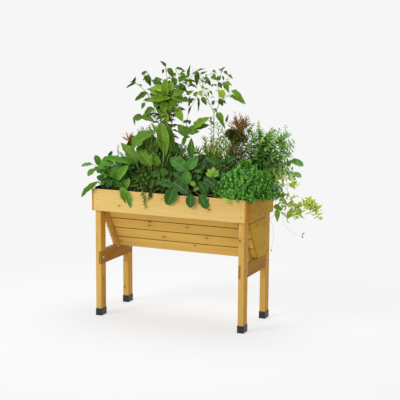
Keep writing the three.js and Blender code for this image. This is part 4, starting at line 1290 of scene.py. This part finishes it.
def make_strawberry():
    plant = Plant("strawberry", 16)
    root = on_soil(0.092, -0.125)
    plant.paths.append([root, root + Vector((0, 0, 0.02))])
    plant.seen_leaves(TOOTHED, STRAWBERRY_LEAVES, 0.0015, 0.25)
    plant.seen_leaves(ROUND, STRAWBERRY_YOUNG_LEAVES, 0.0012, 0.3)
    plant.seen_leaves(LONG, STRAWBERRY_LONG_LEAVES, 0.0014, 0.2)
    plant.mound(TOOTHED, above_soil(0.1, -0.1, 0.05), (0.13, 0.08, 0.09), root, 26, 3, 0.045, 0.036,
                tone=(0, 0.3))
    plant.mound(TOOTHED, above_soil(0.16, -0.05, 0.09), (0.12, 0.06, 0.1), root, 26, 4, 0.045, 0.034,
                tone=(0, 0.2))
    plant.finish("strawberry_leaf", "strawberry_stem")


# Herbs

PARSLEY_MOUNDS = (  # centre, radii, number of sprigs and tone of the brightest leaves, higher on the top mound as painted light
    ((0.456, -0.107, 0.09), (0.172, 0.115, 0.12), 150, 1.15),
    ((0.328, -0.143, 0.05), (0.085, 0.065, 0.07), 44, 1.15),
    ((0.588, -0.073, 0.05), (0.085, 0.095, 0.085), 46, 1.15),
    ((0.442, -0.2, 0.035), (0.11, 0.045, 0.055), 40, 1.15),
    ((0.42, -0.06, 0.17), (0.06, 0.05, 0.07), 40, 1.6),
)
MINT_MOUNDS = (  # centre, radii, number of sprigs and tones; the tones are partly painted shade and light on the mounds
    ((0.425, 0.115, 0.11), (0.13, 0.095, 0.14), 34, (0, 0.9)),
    ((0.44, 0.125, 0.3), (0.095, 0.08, 0.11), 20, (0.4, 1.5)),
    ((0.545, 0.13, 0.28), (0.12, 0.09, 0.145), 34, (0.3, 1.5)),
    ((0.585, 0.125, 0.15), (0.075, 0.065, 0.085), 20, (0.7, 1.8)),
)
MINT_ARCHES = (
    [(281, 160), (284, 143), (285.7, 126.5)],
    [(274, 150), (280, 138), (290.5, 134.5)],
    [(262, 145), (259, 133), (258.6, 122)],
    [(250, 140), (249, 131), (253.5, 124.5)],
    [(270, 150), (281, 142), (291.5, 146.5)],
    [(245, 145), (249, 135), (262, 130.5)],
    [(272, 160), (283, 152), (290.5, 155)],
    [(278, 178), (288, 172), (297, 186)],
    [(262, 150), (268, 138), (272.5, 128.5)],
)
MINT_ROUND_LEAVES = (
    (291.2, 160, 303.6, 165.6, 7, 0.13, 0.35), (293, 173.2, 301.4, 176.8, 5.8, 0.13, 0.45),
    (287, 166, 291.5, 161, 5, 0.13, 0.6),
)
BRONZE_SPIKES = (
    [(241, 125), (237, 117), (233.5, 111.6), (236.5, 113)],
    [(243, 122), (245, 117), (245.6, 113.6)],
    [(245, 123), (248, 119), (249, 115.4)],
    [(246, 127), (249, 124), (250, 122.5)],
)
BRONZE_ROOT = on_soil(0.29, 0.066)
BRONZE_HEAD_LEAVES = 120
NARROW_MOUNDS = (  # centre, radii, number of sprigs and tones; the tones are partly painted shade and light on the mounds
    ((0.15, 0.116, 0.12), (0.15, 0.07, 0.14), 38, (0.1, 1)),
    ((0.2, 0.11, 0.25), (0.09, 0.055, 0.1), 20, (1, 2)),
    ((0.1, 0.116, 0.22), (0.09, 0.056, 0.08), 16, (0.8, 1.8)),
    ((0, 0.116, 0.13), (0.12, 0.07, 0.13), 30, (0.1, 1)),
)
NARROW_SPRIGS = (
    [(214, 160), (212, 140), (211, 121)],
    [(220, 158), (219, 140), (217.5, 124)],
    [(226, 158), (225, 142), (222, 128)],
    [(208, 158), (206, 145), (204, 137)],
    [(230, 160), (230, 148), (228, 133)],
)


def make_parsley():
    plant = Plant("parsley", 17)
    root = on_soil(0.42, -0.09)
    for (x, y, z), radii, count, bright in PARSLEY_MOUNDS:
        plant.mound(FRILL, above_soil(x, y, z), radii, root, count, 11, 0.0235, 0.0192, start=0.5, lift=0.3,
                    tone=(0, bright), thick=0.0012)
        plant.mound(NEEDLE, above_soil(x, y, z + 0.004), radii, root, count // 2, 14, 0.021, 0.006, start=0.5,
                    tone=(0, bright + 0.3), thick=0.001)
    plant.finish("parsley_leaf", "parsley_stem")


def make_mint():
    plant = Plant("mint", 18)
    root = on_soil(0.42, 0.125)
    for centre, radii, count, tone in MINT_MOUNDS:
        plant.mound(MINT, above_soil(*centre), radii, root, count, 8, 0.034, 0.024, start=0.35, pair=True,
                    tone=tone, thick=0.0016)
    for pixels in MINT_ARCHES:
        plant.sprig(MINT, [root, *seen_line(pixels, 0.12)], 13, 0.027, 0.017, start=0.45, pair=True,
                    tone=(0.6, 1.5), thick=0.0016)
    plant.seen_leaves(ROUND, MINT_ROUND_LEAVES, 0.0012, 0.1)
    plant.finish("mint_leaf", "mint_stem")


def make_bronze_herb():
    """The coppery head, on a stem of its own."""
    plant = Plant("bronze_herb", 19)
    crown = seen(240.5, 127.5, 0.06)
    plant.branch([BRONZE_ROOT, (236, 160, 0.06), (237, 142, 0.06), crown], 0.0035, 0.002)
    for index in range(BRONZE_HEAD_LEAVES):
        angle = index * SPIRAL
        rise = 0.1 + 1.3 * (index % 11) / 11
        away = Vector((math.cos(angle), 0.7 * math.sin(angle), rise)).normalized()
        base = crown + away * 0.01 - Vector((0, 0, 0.045 * (index % 5) / 5))
        tip = base + away * plant.rng.uniform(0.02, 0.072) + Vector((0, 0, 0.016))
        middle = base.lerp(tip, 0.5)
        plant.stems.stem([base, middle + plant.jitter(0.008), tip + plant.jitter(0.01)], 0.0013, 0.0005, 3)
        bend = away.cross(Vector((0.3, 1, 0.2)))
        plant.leaves.leaf(NEEDLE, middle, tip + plant.jitter(0.012), 0.005, bend, plant.rng.random())
    for pixels in BRONZE_SPIKES:
        plant.stems.stem(seen_line(pixels, 0.06), 0.0016, 0.0008, 4)
    plant.finish("bronze_tip", "bronze_stem")


def make_bronze_foliage():
    """The olive foliage under the bronze herb's head."""
    plant = Plant("bronze_herb", 20)
    low = seen(235, 146, 0.06)
    for pixel, radii, root, count, leaves, length, tone in (
            ((231.5, 134.5, 0.06), (0.045, 0.04, 0.035), low, 34, 16, 0.024, (0, 0.25)),
            ((240, 139, 0.06), (0.05, 0.04, 0.06), low, 30, 16, 0.026, (0.1, 0.9)),
            ((238, 152, 0.06), (0.065, 0.05, 0.08), BRONZE_ROOT, 34, 18, 0.032, (0.4, 1.3))):
        plant.mound(NEEDLE, seen(*pixel), radii, root, count, leaves, length, 0.009, tone=tone)
    plant.finish("bronze_under", "bronze_under_stem", "bronze_herb_under_leaves", "bronze_herb_under_stems")


def make_narrow_leaved_herb():
    plant = Plant("narrow_leaved_herb", 21)
    root = on_soil(0.13, 0.1)
    for centre, radii, count, tone in NARROW_MOUNDS:
        plant.mound(LANCE, above_soil(*centre), radii, root, count, 11, 0.038, 0.012, start=0.4, lift=0.8,
                    tone=tone, thick=0.0014)
    for pixels in NARROW_SPRIGS:
        plant.sprig(LANCE, [root, *seen_line(pixels, 0.1)], 22, 0.036, 0.009, start=0.4, lift=0.8,
                    tone=(0.7, 1.7), thick=0.0016)
    plant.mound(MINT, above_soil(-0.09, 0.1, 0.14), (0.14, 0.07, 0.18), on_soil(-0.1, 0.1), 70, 9,
                0.034, 0.02, start=0.35, tone=(0.1, 1))
    plant.mound(SMALL, above_soil(-0.26, 0.096, 0.1), (0.14, 0.08, 0.12), on_soil(-0.24, 0.1), 50, 10,
                0.028, 0.016, tone=(0, 0.4))
    plant.finish("narrow_leaf", "narrow_stem")


# Trailing herb

TRAILING_ARM = ((283, 186), (295.5, 208), (306, 202.5), (313, 207), (318.5, 218))
TRAILING_SPRIGS = (
    [(280, 188, 0.07), (290, 183, 0.07), (297.5, 185, 0.08)],
    [(280, 192, 0.06), (285, 199, 0.05), (297, 197, 0.05)],
    [(279, 194, 0.06), (281, 204, 0.05), (281, 212, 0.04)],
    [(283, 204, 0.05), (291, 210, 0.05), (287, 219, 0.05)],
    [(290, 206, 0.06), (298, 211, 0.06), (294, 217, 0.06)],
    [(297, 208, 0.06), (301, 212, 0.06), (299, 217, 0.06)],
    [(306, 202, 0.06), (308.5, 205, 0.06), (311, 214, 0.06)],
    [(312, 206, 0.07), (308, 202, 0.07), (307, 199, 0.07)],
    [(312, 207, 0.06), (316, 207, 0.06), (318, 211, 0.06)],
    [(276, 182, 0.06), (279, 178, 0.06), (285, 176, 0.06)],
)
TRAILING_LEAVES = (
    (273.5, 206, 283, 209.8, 5.6, 0.04, 0.2), (276.8, 209, 277.4, 222.4, 5.6, 0.04, 0.4),
    (292.5, 211, 286, 219.4, 6.2, 0.05, 1), (281.5, 200, 287.5, 204.4, 4.8, 0.05, 0.6),
    (281, 197, 288, 194, 4.6, 0.05, 1), (299, 208, 295.5, 215, 4.6, 0.05, 1.2),
    (289.5, 184, 295.5, 188.4, 4.2, 0.08, 0.7), (292.5, 182.5, 297.8, 184.4, 3.6, 0.08, 1),
    (287, 178.5, 292.5, 180.5, 3.8, 0.08, 0.6),
)
RUNNERS = (
    [(282.5, 212.5), (284.5, 224), (292, 232.5), (302, 236.6)],
    [(270, 218.5), (273, 226), (273.4, 238), (271, 249)],
)
RUNNER_LEAVES = (
    (301.5, 236, 303.4, 238.4, 1.6, 0.05, 0.2), (302, 235.4, 304.8, 232.4, 1.4, 0.05, 0.2),
    (271.2, 249, 272, 251.8, 1.2, 0.05, 0.3),
)
RUNNER_OVER_BOARD = ((256.5, 206), (261, 208), (265, 212.5), (269, 218))


def make_trailing_herb():
    plant = Plant("trailing_herb", 22)
    arm = [on_soil(0.449, 0.062), *seen_line(TRAILING_ARM, 0.065)]
    plant.sprig(PEPPER, arm, 30, 0.05, 0.03, tone=(1, 2), thick=0.0016)
    for stops in TRAILING_SPRIGS:
        start = near_point(plant.paths, seen(*stops[0]))
        plant.sprig(PEPPER, [start, *stops], 8, 0.048, 0.03, tone=(1.1, 2), thick=0.0014)
    plant.seen_leaves(PEPPER, TRAILING_LEAVES)
    for pixels in RUNNERS:
        path = seen_line(pixels, 0.05)
        plant.stems.stem([near_point(plant.paths, path[0]), *path], 0.0009, 0.0006, 4)
    plant.stems.stem([beside(u, v) for u, v in RUNNER_OVER_BOARD], 0.0012, 0.001, 4)
    plant.seen_leaves(PEPPER, RUNNER_LEAVES, 0)
    plant.finish("trailing_leaf", "trailing_stem")


def make_plants():
    make_tall_pepper_left()
    make_tall_pepper_right()
    make_chard()
    make_low_herb()
    make_round_leaved_greens()
    make_flower()
    make_strawberry()
    make_parsley()
    make_mint()
    make_bronze_herb()
    make_bronze_foliage()
    make_narrow_leaved_herb()
    make_trailing_herb()


# Floor, background and lamps

BACKGROUND = (246, 246, 246)
FLOOR_COLOUR = (242, 242, 243)
FLOOR_BOUNCE = (226, 224, 218)
FLOOR_HALF = 60.0
FLOOR_NEAR = 0.84
FLOOR_CLEAR = 2.4  # past this distance from the planter's middle the floor shows the plain background
SHADOW_SHARE = 0.3
AMBIENT = 0.42
AIM_HEIGHT = 0.8
LAMPS = (  # name, place from the planter's middle, diameter and watts
    ("key", (-2.6, -4.2, 4.4), 3.0, 190.0),
    ("fill", (4.2, -3.0, 2.6), 3.0, 26.0),
    ("top", (0.3, 1.2, 4.6), 3.4, 130.0),
)


def floor_material():
    """The plain background for the camera, with a trace of the planter's shadow near it."""
    n = Nodes("pale_floor")
    away = n.vector("LENGTH", n.vector("SUBTRACT", n.place(), (centre_x, centre_y, 0)), output="Value")
    near = n.range(away, FLOOR_NEAR, FLOOR_CLEAR, SHADOW_SHARE, 0.0)
    path = n.add("ShaderNodeLightPath").outputs
    plain = n.add("ShaderNodeEmission", {"Color": linear(*BACKGROUND), "Strength": 1.0}).outputs[0]
    lit, bounce = (
        n.add("ShaderNodeBsdfDiffuse", {"Color": linear(*colour)}).outputs[0]
        for colour in (FLOOR_COLOUR, FLOOR_BOUNCE))
    direct = n.math("MAXIMUM", path["Is Camera Ray"], path["Is Glossy Ray"])
    shown = n.blend(direct, bounce, n.blend(near, plain, lit))
    n.link(shown, n.tree.nodes["Material Output"].inputs["Surface"])
    return n.material


def make_floor():
    corners = ((-1, -1), (1, -1), (1, 1), (-1, 1))
    points = [(centre_x + x * FLOOR_HALF, centre_y + y * FLOOR_HALF, 0) for x, y in corners]
    mesh = bpy.data.meshes.new("floor")
    mesh.from_pydata(points, [], [(0, 1, 2, 3)])
    floor = bpy.data.objects.new("floor", mesh)
    bpy.context.scene.collection.objects.link(floor)
    mesh.materials.append(floor_material())


def make_world():
    """Even white light on the planter, and the plain background for whoever looks past it."""
    world = bpy.data.worlds.new("studio")
    world.use_nodes = True
    bpy.context.scene.world = world
    n = Tree(world.node_tree)
    path = n.add("ShaderNodeLightPath").outputs
    glossy = n.math("MAXIMUM", path["Is Glossy Ray"], path["Is Transmission Ray"])
    direct = n.math("MAXIMUM", path["Is Camera Ray"], glossy)
    soft = n.tree.nodes["Background"]
    soft.inputs["Color"].default_value = (1.0, 1.0, 1.0, 1.0)
    soft.inputs["Strength"].default_value = AMBIENT
    shown = n.add("ShaderNodeBackground", {"Color": linear(*BACKGROUND)})
    n.link(n.blend(direct, soft.outputs[0], shown.outputs[0]), n.tree.nodes["World Output"].inputs["Surface"])


def make_lamp(name, place, size, power):
    data = bpy.data.lights.new(name, "AREA")
    data.shape = "DISK"
    data.size = size
    data.energy = power
    lamp = bpy.data.objects.new(name, data)
    where = Vector(place) + Vector((centre_x, centre_y, 0))
    aim = Vector((centre_x, centre_y, AIM_HEIGHT)) - where
    lamp.matrix_world = Matrix.Translation(where) @ aim.to_track_quat("-Z", "Y").to_matrix().to_4x4()
    bpy.context.scene.collection.objects.link(lamp)


make_camera()
make_world()
for lamp in LAMPS:
    make_lamp(*lamp)
make_floor()
dress_frame()
make_fasteners()
make_soil_surface()
make_liner()
make_plants()

scene = bpy.context.scene
scene.view_settings.view_transform = "Standard"
